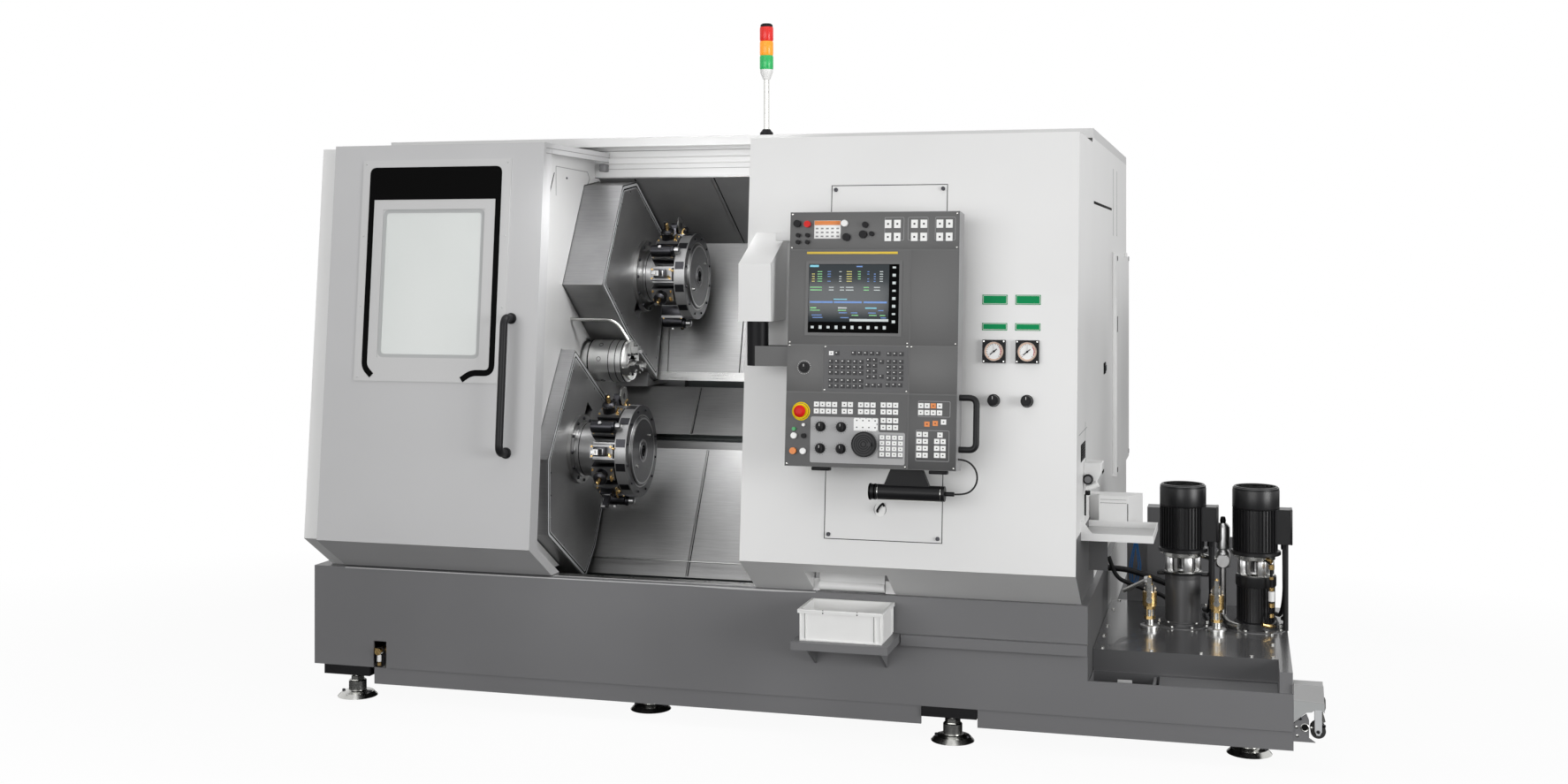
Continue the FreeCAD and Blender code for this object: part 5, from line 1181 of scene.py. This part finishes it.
def pendant_details():
    body = Piece("pendant_case", "pendant", PENDANT)

    def choose(face):
        if face.middle.y < -0.5 and math.hypot(face.middle.x - STOP[0],
                                               face.middle.z - STOP[2]) < 30:
            return "yellow plastic"
        edge = abs(face.normal.x) > 0.8 or face.normal.z > 0.8
        return "pendant edge" if edge else "pendant grey"

    body.copy("pendant_housing", choose)
    top = 0.9
    for x0, x1, z0, z1 in ((2, 568, 717, 839), (2, 409, 402, 713), (413, 568, 402, 713),
                           (2, 122, 246, 398), (413, 568, 246, 398), (413, 568, 2, 242)):
        tone = "pendant low" if z0 < 240 else "pendant grey"
        body.box(tone, x0, x1, -top, 0.5, z0, z1, 0.5)
    body.plate("pendant low", "y", -top, 1.4, rectangle(2, 409, 2, 242))
    body.plate("key plate", "y", -1.3, 1.8, rounded(
        rectangle(126, 409, 248, 398), 6, True), edge=0.3)
    body.plate("panel silver", "y", -1.7, 1.2, rounded([
        (86, 14), (402, 14), (402, 118), (314, 118), (314, 164), (86, 164)], 7, True, 4))
    body.box("key grey", 313, 396, -1.95, -1.6, 34, 111, 0.1)
    body.box("key white", 231, 307, -1.95, -1.6, 121, 160, 0.1)
    for x0, x1, z0, z1 in ((322, 386, 746, 821), (400, 466, 746, 821), (490, 556, 746, 821),
                           (438, 546, 30, 128), (444, 548, 172, 222)):
        body.band("pendant edge", "y", -1.3, 0.5, rectangle(x0, x1, z0, z1), 1.4, 4, True)
    body.box("yellow paint", 60, 367, -1.6, -0.6, 700.5, 708, 0.3)
    body.box("key white", 83, 173, -1.5, -0.6, 752, 812, 0.3)
    body.box("orange plastic", 84, 172, -1.9, -1.4, 797, 811, 0.3)
    for i in range(5):
        x = 84 + 88 * (i + 0.5) / 5
        for k in range(3):
            body.box("key grey", x - 4.5, x + 4.5, -1.75, -1.4, 757 + k * 13, 762 + k * 13, 0.1)
    body.box("pendant edge", 8, 562, -0.3, 0.2, 839.2, 840.6, 0.1)
    for x in (90, 480):
        body.box("black plastic", x, x + 60, 4, 40, -12, -0.2, 3)
    body.done("black_paint")
    front_screws("pendant_screws", "pendant",
                 [(8, 833), (562, 833), (8, 8), (404, 8), (562, 8), (8, 722), (562, 722),
                  (8, 397), (404, 397), (8, 408), (404, 408), (130, 394), (130, 252),
                  (404, 252), (418, 397), (562, 408)],
                 3.4, "nickel", PENDANT, -top, "dome screw")


def screen_details():
    """The display with its frame and the plain rows and blocks that it shows."""
    display = Piece("screen_unit", "pendant", PENDANT)
    display.copy("screen", lambda face:
                 "black gloss" if face.normal.y < -0.5 and face.middle.y > -3 else "pendant grey")
    display.box("display", 70, 340, -2.5, -2.1, 476, 666, 0.1)
    display.box("black gloss", 342, 373, -2.5, -2.1, 441, 666, 0.1)
    display.box("black gloss", 70, 341, -2.5, -2.1, 441, 474, 0.1)
    for x0, x1, z0, z1, tone in (
            (72, 102, 657, 664, "display sky"), (230, 250, 657, 661, "display blue"),
            (74, 152, 538, 544, "display blue"), (156, 250, 538, 544, "display blue"),
            (256, 334, 538, 544, "display blue"), (210, 340, 478, 486, "display white"),
            (154, 200, 549, 552, "display sky"), (262, 300, 520, 524, "display sky"),
            (76, 96, 520, 524, "display green"), (170, 200, 520, 524, "display white")):
        display.box(tone, x0, x1, -2.9, -2.4, z0, z1, 0.05)
    display.done("screen")
    rows = {"white": [], "green": [], "blue": [], "gold": []}

    def mark(kind, x, z, wide, high):
        rows[kind].append(((x, -2.6, z), (0, 0, 0), (wide, 0.5, high)))

    for c, (x, wide, kind) in enumerate((
            (84, 12, "gold"), (106, 20, "green"), (138, 14, "blue"), (176, 10, "white"),
            (206, 22, "gold"), (240, 12, "green"), (270, 8, "blue"), (292, 8, "blue"),
            (314, 14, "white"))):
        for r in range(5):
            if (c * 3 + r * 5) % 7:
                mark(kind, x, 642 - r * 8, wide * 0.8, 2.4)
    for r in range(2):
        for x, wide in ((94, 40), (146, 16), (182, 14), (208, 26), (264, 18), (300, 20)):
            mark("green" if x in (94, 264) else "white", x, 590 - r * 9, wide, 2.8)
    for r in range(4):
        for x, wide in ((92, 34), (184, 28), (222, 22), (282, 26), (314, 18)):
            if (r + x) % 3:
                mark("blue" if (r + x) % 4 else "green", x + 3 * r, 514 - r * 8, wide, 2.6)
    for name, kind, tone in (("display_rows", "white", "white"),
                             ("display_green_rows", "green", "green"),
                             ("display_blue_rows", "blue", "blue"),
                             ("display_gold_rows", "gold", "yellow")):
        repeat(name, "pendant", "rib", "display " + tone, rows[kind], PENDANT)
    icons = [((357, -2.8, 656 - i * 25.5), (0, 0, 0), (11, 0.5, 9 if i % 3 else 6))
             for i in range(8)]
    icons += [((84 + i * 27, -2.8, 458), (0, 0, 0), (10, 0.5, 11 if i % 2 else 8))
              for i in range(10)]
    repeat("display_icons", "pendant", "rib", "display white", icons, PENDANT)


def key_finish(face):
    """The finish of a key, lamp or switch, from where it stands on the panel."""
    low, high = face.low, face.high
    x, z = (low[0] + high[0]) / 2, (low[2] + high[2]) / 2
    if low[1] < -8:
        if z > 700:
            if 50 < x < 72 and z > 780:
                return "red plastic"
            white = 80 < x < 210 and high[0] - low[0] > 17 and not (x > 190 and z < 790)
            return "white plastic" if white else "black plastic"
        if x > 50 and (z > 300 or 80 < z < 115):
            return "black plastic"
        if x < 45 and (z < 70 or z > 112):
            return "orange plastic" if z < 70 else "green plastic"
        return "white plastic"
    if 126 < x < 409 and 246 < z < 400:
        return "key white" if x < 165 and z > 366 else "key dark"
    if (490 < x < 512 and 195 < z < 215) or (460 < x < 512 and 140 < z < 165):
        return "orange plastic"
    return "key white"


def key_details():
    keys = Piece("pendant_key_caps", "pendant", PENDANT)
    keys.copy("pendant_keys", key_finish)
    part = solid("pendant_keys")
    marks = {"key white": [], "key dark": []}
    for _, first, last in shells(part, PENDANT.inverted()):
        if first[1] < -8:
            continue
        x, _, z = (first + last) / 2
        wide, _, tall = last - first
        dark = key_finish(Face(first, last, None, None)) == "key dark"
        marks["key white" if dark else "key dark"].append(
            ((x - wide * 0.2 * dark, first[1] - 0.05, z + tall * 0.15 * dark), (0, 0, 0),
             (wide * 0.28, 0.3, tall * 0.22)))
    part.free()
    for tone, spots in marks.items():
        repeat("key_marks_" + tone.split()[1], "pendant", "rib", tone, spots, PENDANT)
    keys.done("white_plastic")


def pendant_controls():
    key_details()
    stop = Piece("stop_button", "emergency_stop", PENDANT)
    stop.lathe("red plastic", "y", STOP, [
        (-15.2, 14), (-16.5, 19), (-20, 20), (-23, 19.2), (-26, 15), (-27, 9), (-27, 0)], 40)
    stop.lathe("red plastic", "y", STOP, [(16, 8.8), (-14, 8.8), (-16, 8.8)], 24)
    stop.nodes.append("emergency_stop")
    stop.done("red_plastic")
    ring = Piece("stop_collar", "pendant", PENDANT)
    ring.collar("yellow plastic", "y", STOP, [(-1, 26.5), (-3, 29), (-1.2, 30.5), (-0.7, 30.5)],
                40)
    ring.done("white_plastic")

    wheel = Piece("jog_dial", "jog_wheel", PENDANT)
    wheel.copy("jog_wheel", "key dark")
    wheel.collar("black plastic", "y", JOG, [(-20, 37), (-21.4, 38), (-21.4, 40), (-20, 40.8)],
                 48)
    for outer in (31, 24, 17, 10):
        wheel.collar("black plastic", "y", JOG, [(-23.9, outer - 3.2), (-24.7, outer - 2.8),
                                                 (-24.7, outer), (-23.9, outer + 0.4)], 48)
    wheel.done("black_plastic")
    x, _, z = JOG
    repeat("jog_ribs", "jog_wheel", "rib", "black plastic",
           ring_of("y", (x, -13, z), 48, 40.8, (1.0, 12, 2.4)), PENDANT)
    repeat("jog_scale", "pendant", "rib", "key dark",
           ring_of("y", (x, -1.8, z), 50, 45, (3.0, 0.4, 0.8)), PENDANT)
    for i in range(4):
        x, z = 120 + 69.5 * (i % 2), 60.5 + 71 * (i // 2)
        name = "selector_%d" % (i + 1)
        dial = Piece(name + "_cap", name, PENDANT)
        dial.copy(name, "black plastic")
        dial.box("black plastic", x - 3.5, x + 3.5, -21.5, -17.5, z - 11, z + 11, 1.2)
        dial.box("white plastic", x - 0.7, x + 0.7, -21.8, -21.3, z + 2, z + 10.5, 0.1)
        dial.done("black_plastic")
        repeat(name + "_scale", "pendant", "rib", "key dark",
               ring_of("y", (x, -1.8, z), 16, 21, (3.0, 0.4, 0.9)), PENDANT)
    repeat("feed_knob_scale", "pendant", "dot", "white plastic",
           ring_of("y", (59, -0.9, 325), 22, 22, (1.2, 1.2, 0.5), 0, FACE_FRONT), PENDANT)
    knob = Piece("feed_knob", "pendant", PENDANT)
    knob.lathe("black plastic", "y", (60, 0, 325), [(-0.9, 17.5), (-3, 17.5), (-4, 13),
                                                    (-12.2, 12), (-13, 10.5), (-13, 0)], 24)
    knob.box("white plastic", 59.2, 60.8, -13.3, -12.8, 327, 335, 0.1)
    knob.done("black_plastic")

    fittings = Piece("pendant_fitting_bars", "pendant")
    fittings.copy("pendant_fittings", lambda face:
                  None if face.low.x > 2490 and face.high.z - face.low.z > 150 else "black paint")
    for x, r, tone, wide in ((2212, 27.2, "black gloss", 5), (2228, 26.2, "black gloss", 5),
                             (2240, 26.0, "nickel", 1.6), (2448, 26.0, "nickel", 1.6)):
        fittings.collar(tone, "x", (x, *LAMP_LINE), [(0, 24), (0, r), (wide, r), (wide, 24)], 40)
    fittings.box("lens", 2262, 2430, -300, -274, 873.6, 875.4, 0.5)
    fittings.done("black_paint")
    grab = Piece("grab_bar", "pendant", PENDANT)
    grab.tube("black paint", [(569, 47.5, 68), (626, 47.5, 68), (626, 47.5, 236),
                              (569, 47.5, 236)], 10.4, 24, 16)
    grab.done("black_paint")
    arm = Piece("pendant_arm_case", "pendant")

    def tone(face):
        x, y = face.middle.xy
        cap = x < 1858 and math.hypot(x - 1820, y + 250) < 40
        return "black plastic" if cap else "pendant grey"

    arm.copy("pendant_arm", tone)
    arm.done("black_paint")
    duct = Piece("cable_duct", "machine")
    duct.box("cover white", 1862, 1930, -182, -146, 1722, 1752, 2)
    duct.done("cover_white")


# Base: feet, bin, tank, pumps, tower

FEET = [(137, 80), (1281, 190), (2425, 80), (3413, 190), (3413, 980), (137, 2222), (1281, 2222),
        (2425, 2222)]


def feet_details():
    feet = Piece("levelling_feet_parts", "machine")
    feet.copy("levelling_feet", lambda face: "black paint" if face.middle.z > 92 else "nickel")
    bolts = []
    for x, y in FEET:
        feet.lathe("nickel", "z", (x, y, 0), [(15.5, 60), (19, 36), (22, 33), (58, 33), (61, 30)])
        feet.lathe("nickel", "z", (x, y, 0), [(61, 27), (76, 27), (78, 24)], 6)
        feet.lathe("oxide", "z", (x, y, 0), [(84, 26), (86, 30), (96, 30)], 6)
        bolts += [((x + 56 * s, y - 6, 15.5), FACE_UP, 6) for s in (-1, 1)]
    feet.done("nickel")
    repeat("foot_disc_screws", "machine", "cap screw", "oxide", bolts)


BIN = (1950.2, 2232.2, -196.0, -10.0, 481.0)


def bin_details():
    box = Piece("parts_bin_shell", "machine")
    box.copy("parts_bin", "white plastic")
    left, right, front, back, top = BIN
    for x in (left + 3, left + 22, right - 22, right - 3):
        box.box("white plastic", x - 1.6, x + 1.6, front - 3.4, front + 0.6, 380, top - 14, 0.8)
    for y in (front + 3, front + 20, back - 20, back - 3):
        box.box("white plastic", right - 0.6, right + 3.2, y - 1.6, y + 1.6, 380, top - 14, 0.8)
    box.box("white plastic", left + 3, right - 3, front - 3.2, front + 0.6, 377, 381, 0.8)
    box.box("white plastic", left, right, front - 7.0, front - 5.4, top - 5, top - 1.5, 0.6)
    box.box("white plastic", right + 5.4, right + 7.0, front, back, top - 5, top - 1.5, 0.6)
    box.done("white_plastic")
    repeat("bin_rim_holes", "machine", "dot", "oxide",
           [((x, front - 6.1, z), FACE_FRONT, (2.6, 2.6, 0.4)) for x in (left + 82, right - 82)
            for z in (top - 9, top - 1.6)])
    repeat("bin_rib_shadows", "machine", "rib", "seam grey",
           [((x, front - 0.2, 427), (0, 0, 0), (1.6, 0.8, 88)) for x in (left + 19, right - 26)])


# Middle lines of the two coolant pumps.
PUMPS = (3180, 3438)
PUMP_LINE = 668


def tank_details():
    tank = Piece("coolant_tank_shell", "machine")

    def choose(face):
        deck = face.normal.z > 0.8 and 316 < face.middle.z < 324
        # Painted shade: the tank's front wall under the deck edge takes the darker deck grey for
        # the shade of the recess.
        front = face.normal.y < -0.8 and 100 < face.middle.y < 200
        return "deck grey and recess shade" if deck or front else "base grey"

    tank.copy("coolant_tank", choose)
    for x in PUMPS:
        tank.lathe("deck grey and recess shade", "z", (x, PUMP_LINE, 0), [(319.5, 108), (322, 106), (323.5, 100),
                                                         (323.5, 60)], 48)
    tank.plate("base grey", "x", 3120, 384, [(20, 216), (176, 236), (176, 240), (20, 220)])
    tank.plate("base grey", "x", 3120, 3, [(20, 150), (176, 150), (176, 238), (20, 218)])
    tank.box("base grey", 2990, 3030, 60, 66, 196, 246, 1.5)
    tank.box("bracket grey", 2986, 3034, 56, 62, 190, 250, 1.5)
    tank.box("base grey", 3102, 3110, 40, 150, 180, 244, 1)
    tank.done("black_paint")
    bolts = []
    for x in PUMPS:
        bolts += ring_of("z", (x, PUMP_LINE, 323.4), 8, 93, 6.5, 0.5, FACE_UP)
    for xs, ys in (((2925, 3090, 3255, 3420, 3490), (205, 1035)),
                   ((2915, 3492), (400, 560, 860))):
        bolts += [((x, y, 320), FACE_UP, 6.5) for x in xs for y in ys]
    repeat("deck_screws", "machine", "hex head", "nickel", bolts)


def motor(piece, x, y, fins):
    """The finned motor on top of a pump."""
    piece.lathe("motor black", "z", (x, y, 0), [(590, 86), (592, 88), (602, 88), (606, 80)], 40)
    piece.lathe("motor black", "z", (x, y, 0), [
        (755, 78), (757, 82), (762, 83), (822, 83), (830, 80)], 48)
    # Painted light: the top cap is lighter than the black motor where light falls from above.
    piece.lathe("lid painted light", "z", (x, y, 0), [(829, 80.6), (833, 78), (836, 70), (836, 0)], 48)
    piece.collar("hole", "z", (x, y, 0), [(759, 82.2), (759, 83.4), (761, 83.4), (761, 82.2)], 48)
    for radius in (18, 32, 46, 60):
        piece.collar("hole", "z", (x, y, 0), [(835.5, radius), (836.3, radius),
                                              (836.3, radius + 5), (835.5, radius + 5)], 36)
    piece.box("motor black", x + 70, x + 124, 636, 700, 636, 752, 5)
    piece.box("motor black", x + 118, x + 127, 631, 705, 631, 758, 4)
    for z in (650, 738):
        piece.box("motor black", x + 60, x + 76, 640, 696, z - 4, z + 4, 2)
    for low in (-18, 9):
        piece.lathe("black plastic", "z", (x + 99, y + low, 0), [(612, 12), (632, 12),
                                                                 (636, 10)], 6)
    fins += [fin for fin in ring_of("z", (x, y, 681), 40, 79.2, (7, 2.0, 148))
             if fin[0][0] < x + 58 or abs(fin[0][1] - y) > 42]


def pump_details():
    pumps = Piece("coolant_pump_units", "machine")

    def choose(face):
        axis = PUMPS[face.middle.x > 3309]
        reach = math.hypot(face.middle.x - axis, face.middle.y - PUMP_LINE)
        if reach > 84 and face.middle.z < 630:
            return "rubber"
        if face.middle.z > 588:
            return "motor black"
        if face.middle.z > 516:
            return "silver"
        return "pump grey" if axis == PUMPS[0] else "motor black"

    pumps.copy("coolant_pumps", choose)
    fins = []
    bolts = []
    y = PUMP_LINE
    for x in PUMPS:
        motor(pumps, x, y, fins)
        pumps.lathe("nickel", "z", (x, y, 0), [(514, 66), (518, 66), (520, 62), (524, 46)], 40)
        pumps.lathe("nickel", "z", (x, y, 0), [(566, 46), (570, 62), (574, 68), (588, 68)], 40)
        for i in range(4):
            turn = (Matrix.Translation((x, y, 0))
                    @ Matrix.Rotation(math.radians(90 * i + 20), 4, "Z"))
            pumps.box("silver", 42, 64, -15, 15, 518, 572, 3, turn)
        bolts += ring_of("z", (x, y, 588), 4, 79, 6, 0.25, (180, 0, 0))
        bolts += ring_of("z", (x, y, 333), 4, 71, 6, 0.5, FACE_UP)
        pumps.tube("rubber", [(x + 99, 650, 612), (x + 99, 650, 470), (x + 104, 700, 360),
                              (x + 96, 800, 332)], 7.5, 60, 12)
        pumps.tube("rubber", [(x + 99, 677, 612), (x + 101, 690, 440), (x + 90, 760, 350),
                              (x + 70, 900, 330)], 7.5, 60, 12)
    left, right = ((x, y, 0) for x in PUMPS)
    pumps.lathe("pump grey", "z", left, [
        (334, 66), (337, 63.6), (488, 63.6), (500, 60), (508, 50)], 48)
    pumps.lathe("motor black", "z", left, [(506, 60), (508, 72), (515, 73), (517, 70)], 40)
    pumps.box("motor black", 3088, 3272, 650, 686, 500, 514, 4)
    pumps.lathe("motor black", "z", right, [
        (474, 60), (476, 70), (480, 72), (512, 72), (516, 69)], 48)
    pumps.lathe("motor black", "z", right, [(334, 76), (346, 76), (350, 66)], 48)
    fins += ring_of("z", (PUMPS[1], y, 412), 36, 64.5, (6, 2.2, 124))
    # relief valve between the pumps
    pumps.lathe("silver", "z", (3322, 706, 0), [(334, 13), (530, 13), (531, 24), (540, 27),
                                                (578, 27), (588, 22), (594, 18), (600, 24),
                                                (676, 25), (684, 21), (692, 14), (692, 0)], 24)
    pumps.lathe("black plastic", "z", (3322, 706, 0), [(690, 9), (700, 11), (714, 8), (716, 0)],
                16)
    pumps.tube("nickel", [(3240, 690, 572), (3280, 702, 560), (3322, 706, 556)], 9, 20, 14)
    pumps.lathe("silver", "y", (3322, 672, 556), [(-2, 22), (6, 24), (12, 24), (14, 18)], 24)
    pumps.tube("nickel", [(3322, 706, 350), (3340, 640, 336), (3380, 600, 334)], 13, 30, 14)
    # brass line on the right pump
    pumps.tube("black plastic", [(3462, 616, 580), (3490, 592, 572), (3492, 590, 400),
                                 (3470, 592, 352)], 5.5, 24, 12)
    for z, tone, r, long in ((556, "brass", 10, 18), (520, "brass", 8, 10), (480, "brass", 9, 12),
                             (442, "white plastic", 11, 36), (420, "brass", 10, 16),
                             (384, "brass", 9, 14)):
        pumps.lathe(tone, "z", (3491.5, 591, z - 8), [(0, r - 1.5), (1, r), (long - 1, r),
                                                      (long, r - 1.5)], 12)
    pumps.tube("brass", [(3492, 590, 576), (3470, 612, 586), (3450, 624, 586)], 7, 10, 12)
    pumps.tube("brass", [(3460, 590, 350), (3486, 600, 342), (3500, 640, 336)], 8, 10, 12)
    # blue and black lines at the back left
    for k in (0, 9):
        pumps.tube("blue tube", [(2994 + k / 3, 908, 585), (2972 + k, 905, 480),
                                 (2976 + k, 900, 424), (3000 - k, 900, 418),
                                 (3016 - k, 905, 480), (2999 - k / 3, 908, 588)], 2.6, 16, 8)
    pumps.tube("rubber", [(2896, 872, 520), (2926, 866, 440), (2990, 850, 420), (3120, 800, 390),
                          (3140, 740, 350)], 8, 40, 14)
    pumps.tube("nickel", [(2968, 620, 440), (3050, 600, 486)], 8, 0, 14)
    pumps.lathe("silver", "x", (3044, 600, 484), [(0, 16), (8, 18), (16, 18), (18, 12)], 20)
    pumps.done("black_paint")
    repeat("pump_fins", "machine", "rib", "motor black", fins)
    repeat("pump_bolts", "machine", "hex head", "nickel", bolts)


def tower_details():
    tower = Piece("signal_tower_lamps", "machine")
    lenses = ((2388, 2443, "green lens"), (2443, 2498, "amber lens"), (2498, 2553, "red lens"))
    back = WORLD.inverted()
    spots = [back @ v.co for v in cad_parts["signal_tower"].data.vertices]
    x, y = ((min(p[i] for p in spots) + max(p[i] for p in spots)) / 2 for i in (0, 1))
    wide = max(p.x for p in spots) - x
    tower.lathe("black plastic", "z", (x, y, 0), [(2136, wide - 0.5), (2146, wide - 1),
                                                  (2154, wide - 8), (2160, 14)], 32)
    tower.lathe("nickel", "z", (x, y, 0), [(2158, 10.5), (2356, 10.5)], 24)
    tower.lathe("white plastic", "z", (x, y, 0), [(2350, 11), (2352, 14), (2378, wide - 2),
                                                  (2389, wide - 1.5)], 36)
    for low, high, tone in lenses:
        tower.lathe(tone, "z", (x, y, 0), [(low + 0.4, wide - 2.2), (low + 3, wide - 1),
                                           (high - 3, wide - 1), (high - 0.4, wide - 2.2)], 36)
    tower.lathe("black plastic", "z", (x, y, 0), [(2552, wide - 2), (2560, wide - 3),
                                                  (2565, wide - 8), (2565, 0)], 36)
    tower.nodes.append("signal_tower")
    tower.done("lens")
    for low, high, tone in lenses:
        repeat("tower_ribs_" + tone.split()[0], "machine", "rib", tone,
               ring_of("z", (x, y, (low + high) / 2), 24, wide - 1, (1.0, 1.6, 46)))


# Right side of the cabinet, its shelf, the roof beam and the end bracket

SIDE = 2869.6


def side_details():
    cabinet_side()
    lubrication_unit()
    shelf_and_wall()
    end_bracket()
    base_front()


def cabinet_side():
    side = Piece("side_panel_details", "machine")
    slots = [("black plastic", 0, 2.2, 8, 154, z, z + 3, 0.6) for z in range(985, 1031, 9)]
    hinges = [("cover white", 0, 12, y - 8, y + 6, 770, 1690, 2) for y in (1440, 2190)]
    stops = [("black plastic", 16, 20, y, y + 22, z - 10, z + 10, 2)
             for y in (1452, 2176) for z in (782, 1664)]
    for tone, x0, x1, y0, y1, z0, z1, edge in (
            ("hole", -0.6, 0.8, 2, 160, 980, 1038, 0.4), *slots,
            ("seam grey", -0.6, 0.6, 170, 172, 760, 1100, 0.2),
            ("seam grey", -0.6, 0.6, -60, 228, 1076, 1078, 0.2),
            ("hole", -0.6, 0.7, 522, 1387, 1862, 1872, 0.3),
            ("hole", -0.6, 3.0, 968, 1052, 1212, 1256, 2),
            ("black plastic", 0, 7, 985, 1035, 1222, 1246, 2),
            ("seam grey", -0.6, 0.6, 1480, 1483, 1760, 2040, 0.2),
            ("seam grey", -0.6, 0.6, 1688, 1691, 1760, 2040, 0.2), *hinges,
            ("black plastic", 4, 19.5, 1450, 1476, 1356, 1424, 3), *stops):
        side.box(tone, SIDE + x0, SIDE + x1, y0, y1, z0, z1, edge)
    # Painted shade: dark grey sheets on the cabinet side under the shelf and on the front part of
    # the base's right side, where the shelf and tray shade them. The white sheet behind is the
    # side's own paint.
    side.plate("side painted shade", "x", 2869.2, 1.4, [(-158, 748), (-176, 632), (24, 503),
                                               (503, 503), (503, 748)])
    side.plate("side painted shade", "x", 2891.4, 1.4, [(1, 254), (1, 501), (873, 501), (873, 254)])
    side.plate("cover white", "x", 2891.4, 1.4, [(873, 254), (873, 501), (2300, 501),
                                                 (2300, 254)])
    side.done("cover_white")


def lubrication_unit():
    unit = Piece("lubrication_unit", "machine")
    unit.plate("cover white", "y", 100, 90, [(2869.8, 968), (2931, 968), (2931, 936),
                                             (2914, 905), (2869.8, 905)], edge=2.0)
    unit.box("hole", 2931, 2932.4, 112, 180, 930, 940, 0.5)
    unit.lathe("black plastic", "y", (2886, 100, 914), [(0, 16), (-4, 17), (-20, 17), (-22, 14),
                                                        (-22, 0)], 32)
    unit.lathe("grey plastic", "y", (2886, 78, 914), [(0, 12), (-1.5, 11), (-1.5, 0)], 24)
    unit.tube("white plastic", [(2880, 96, 884), (2902, 96, 890), (2918, 96, 900)], 11, 10, 16)
    unit.lathe("black plastic", "z", (2884, 96, 860), [(0, 7), (2, 9), (14, 9), (15, 7)], 20)
    unit.tube("black plastic", [(2876, 96, 862), (2876, 96, 790)], 3.2, 0, 10)
    unit.done("cover_white")


def shelf_and_wall():
    shelf = Piece("shelf_details", "machine")
    # Below 690 the shelf's column gets painted shade: dark grey where the tray above shades it.
    shelf.copy("shelf", lambda face: "side painted shade" if face.middle.z < 690 else "cover white")
    for z0, z1 in ((806, 807.6), (818, 819.2)):
        shelf.box("seam grey", 2910, 3000, 297.8, 299.0, z0, z1, 0.2)
    shelf.box("hole", 3003.4, 3005.8, 297.6, 299.0, 724, 806, 0.2)
    # Painted shade: a duller white on the tray's floor, which lies in shade.
    shelf.box("wall white", 2871, 3104, 3.2, 296.8, 723.2, 724.0, 0.1)
    shelf.done("cover_white")
    beam = Piece("roof_beam_lines", "machine")
    for z, wide in ((2090, 2.2), (2046, 2.6), (2019, 1.8)):
        beam.box("seam grey", 905, 1731, 618.4, 620.4, z, z + wide, 0.3)
    beam.done("cover_white")
    wall = Piece("inner_wall_lines", "machine")
    for tone, wide, line in (
            ("hole", 5, [(182, 1985), (150, 1930), (120, 1870), (106, 1838)]),
            ("seam grey", 2.6, [(198, 1900), (198, 2010), (512, 2004), (534, 1978)]),
            ("seam grey", 5, [(534, 1978), (500, 1940)])):
        wall.band(tone, "x", 900.0, 0.7, line, wide)
    wall.done("cover_white")


def end_bracket():
    bracket = Piece("end_bracket_details", "machine")
    bracket.copy("end_bracket", lambda face:
                 "silver plate" if face.middle.x > 3614 and face.middle.z < 204 else "bracket grey")
    bracket.plate("bracket grey", "y", -1.2, 1.4, [(3550.4, 236), (3646, 231), (3646, 228),
                                                   (3550.4, 233)], edge=0.3)
    bracket.plate("pane border", "y", -0.8, 1.0, [
        (3550.6, 233), (3645.6, 228), (3645.6, 199.5), (3636.4, 204.4), (3616, 206.4),
        (3605.6, 198.4), (3590, 196.4), (3550.6, 162.8)])
    bracket.plate("nickel", "y", 8, 5, [(3640, 244), (3646, 248), (3649, 240), (3649.4, 212),
                                        (3646, 202), (3640, 200)], edge=0.8)
    bracket.plate("silver plate", "y", -1.6, 1.8, [
        (3615, 206), (3637, 206), (3637.4, 137), (3631, 124.4), (3621, 124.4), (3615, 137)],
                  edge=0.5)
    bracket.plate("nickel", "y", 8, 4, [(3628, 206), (3640, 204), (3649, 168), (3630, 160)],
                  edge=0.8)
    bracket.box("black plastic", 3632, 3649.5, 5.5, 14, 150, 158, 1.5)
    bracket.lathe("oxide", "y", (3626, -1.4, 137), [(0, 6), (-3, 6), (-4, 4.5), (-4, 0)], 6)
    bracket.lathe("oxide", "y", (3570, 7, 176), [(0, 7), (-4, 7), (-5, 5.5), (-5, 0)], 6)
    bracket.done("cover_white")
    tail = Piece("tail_plate_details", "machine")
    tail.collar("nickel", "y", (3585, 7, 146), [(0.4, 10), (-2.0, 10), (-2.4, 12), (-1.4, 13.5),
                                                (0.4, 13.5)], 28)
    tail.lathe("hole", "y", (3585, 7.1, 146), [(0, 10), (-0.6, 10), (-0.6, 0)], 28)
    for x, z in ((3560, 146), (3562, 118), (3606, 146)):
        tail.lathe("nickel", "y", (x, 7, z), [(0, 4.5), (-2, 4.5), (-2.6, 3), (-2.6, 0)], 12)
    tail.done("base_grey")


def base_front():
    # Painted highlight: a light strip along the top of the base's ledge under the door, where light
    # catches it.
    ledge = Piece("sill_light_edge", "machine")
    ledge.plate("door plate", "y", -0.9, 1.2, [(130, 498.5), (1500, 498), (1640, 495.5),
                                               (1800, 495), (1957, 499), (1957, 501.8),
                                               (130, 501.8)])
    ledge.done("base_grey")
    drain = Piece("drain_plate", "machine")
    drain.plate("black plastic", "y", 1.0, 6.0, rounded(rectangle(256, 293, 133, 207), 16, True),
                edge=0.6)
    drain.lathe("white plastic", "z", (274.5, -5, 0), [(155, 0), (155, 7), (157, 8), (177, 8),
                                                       (182, 5), (182, 0)], 16)
    drain.lathe("brass", "y", (274.5, 1, 194), [(0, 6.5), (-3, 6.5), (-4, 4.5), (-4, 0)], 6)
    drain.lathe("brass", "z", (274.5, -5, 0), [(140, 0), (140, 7.5), (152, 7.5), (152, 0)], 6)
    drain.done("base_grey")


# The whole machine

camera()
studio()
floor()
cords()
door_details()
cover_details()
chuck_details()
inside_details()
side_details()
pendant_details()
screen_details()
pendant_controls()
feet_details()
bin_details()
tank_details()
pump_details()
tower_details()
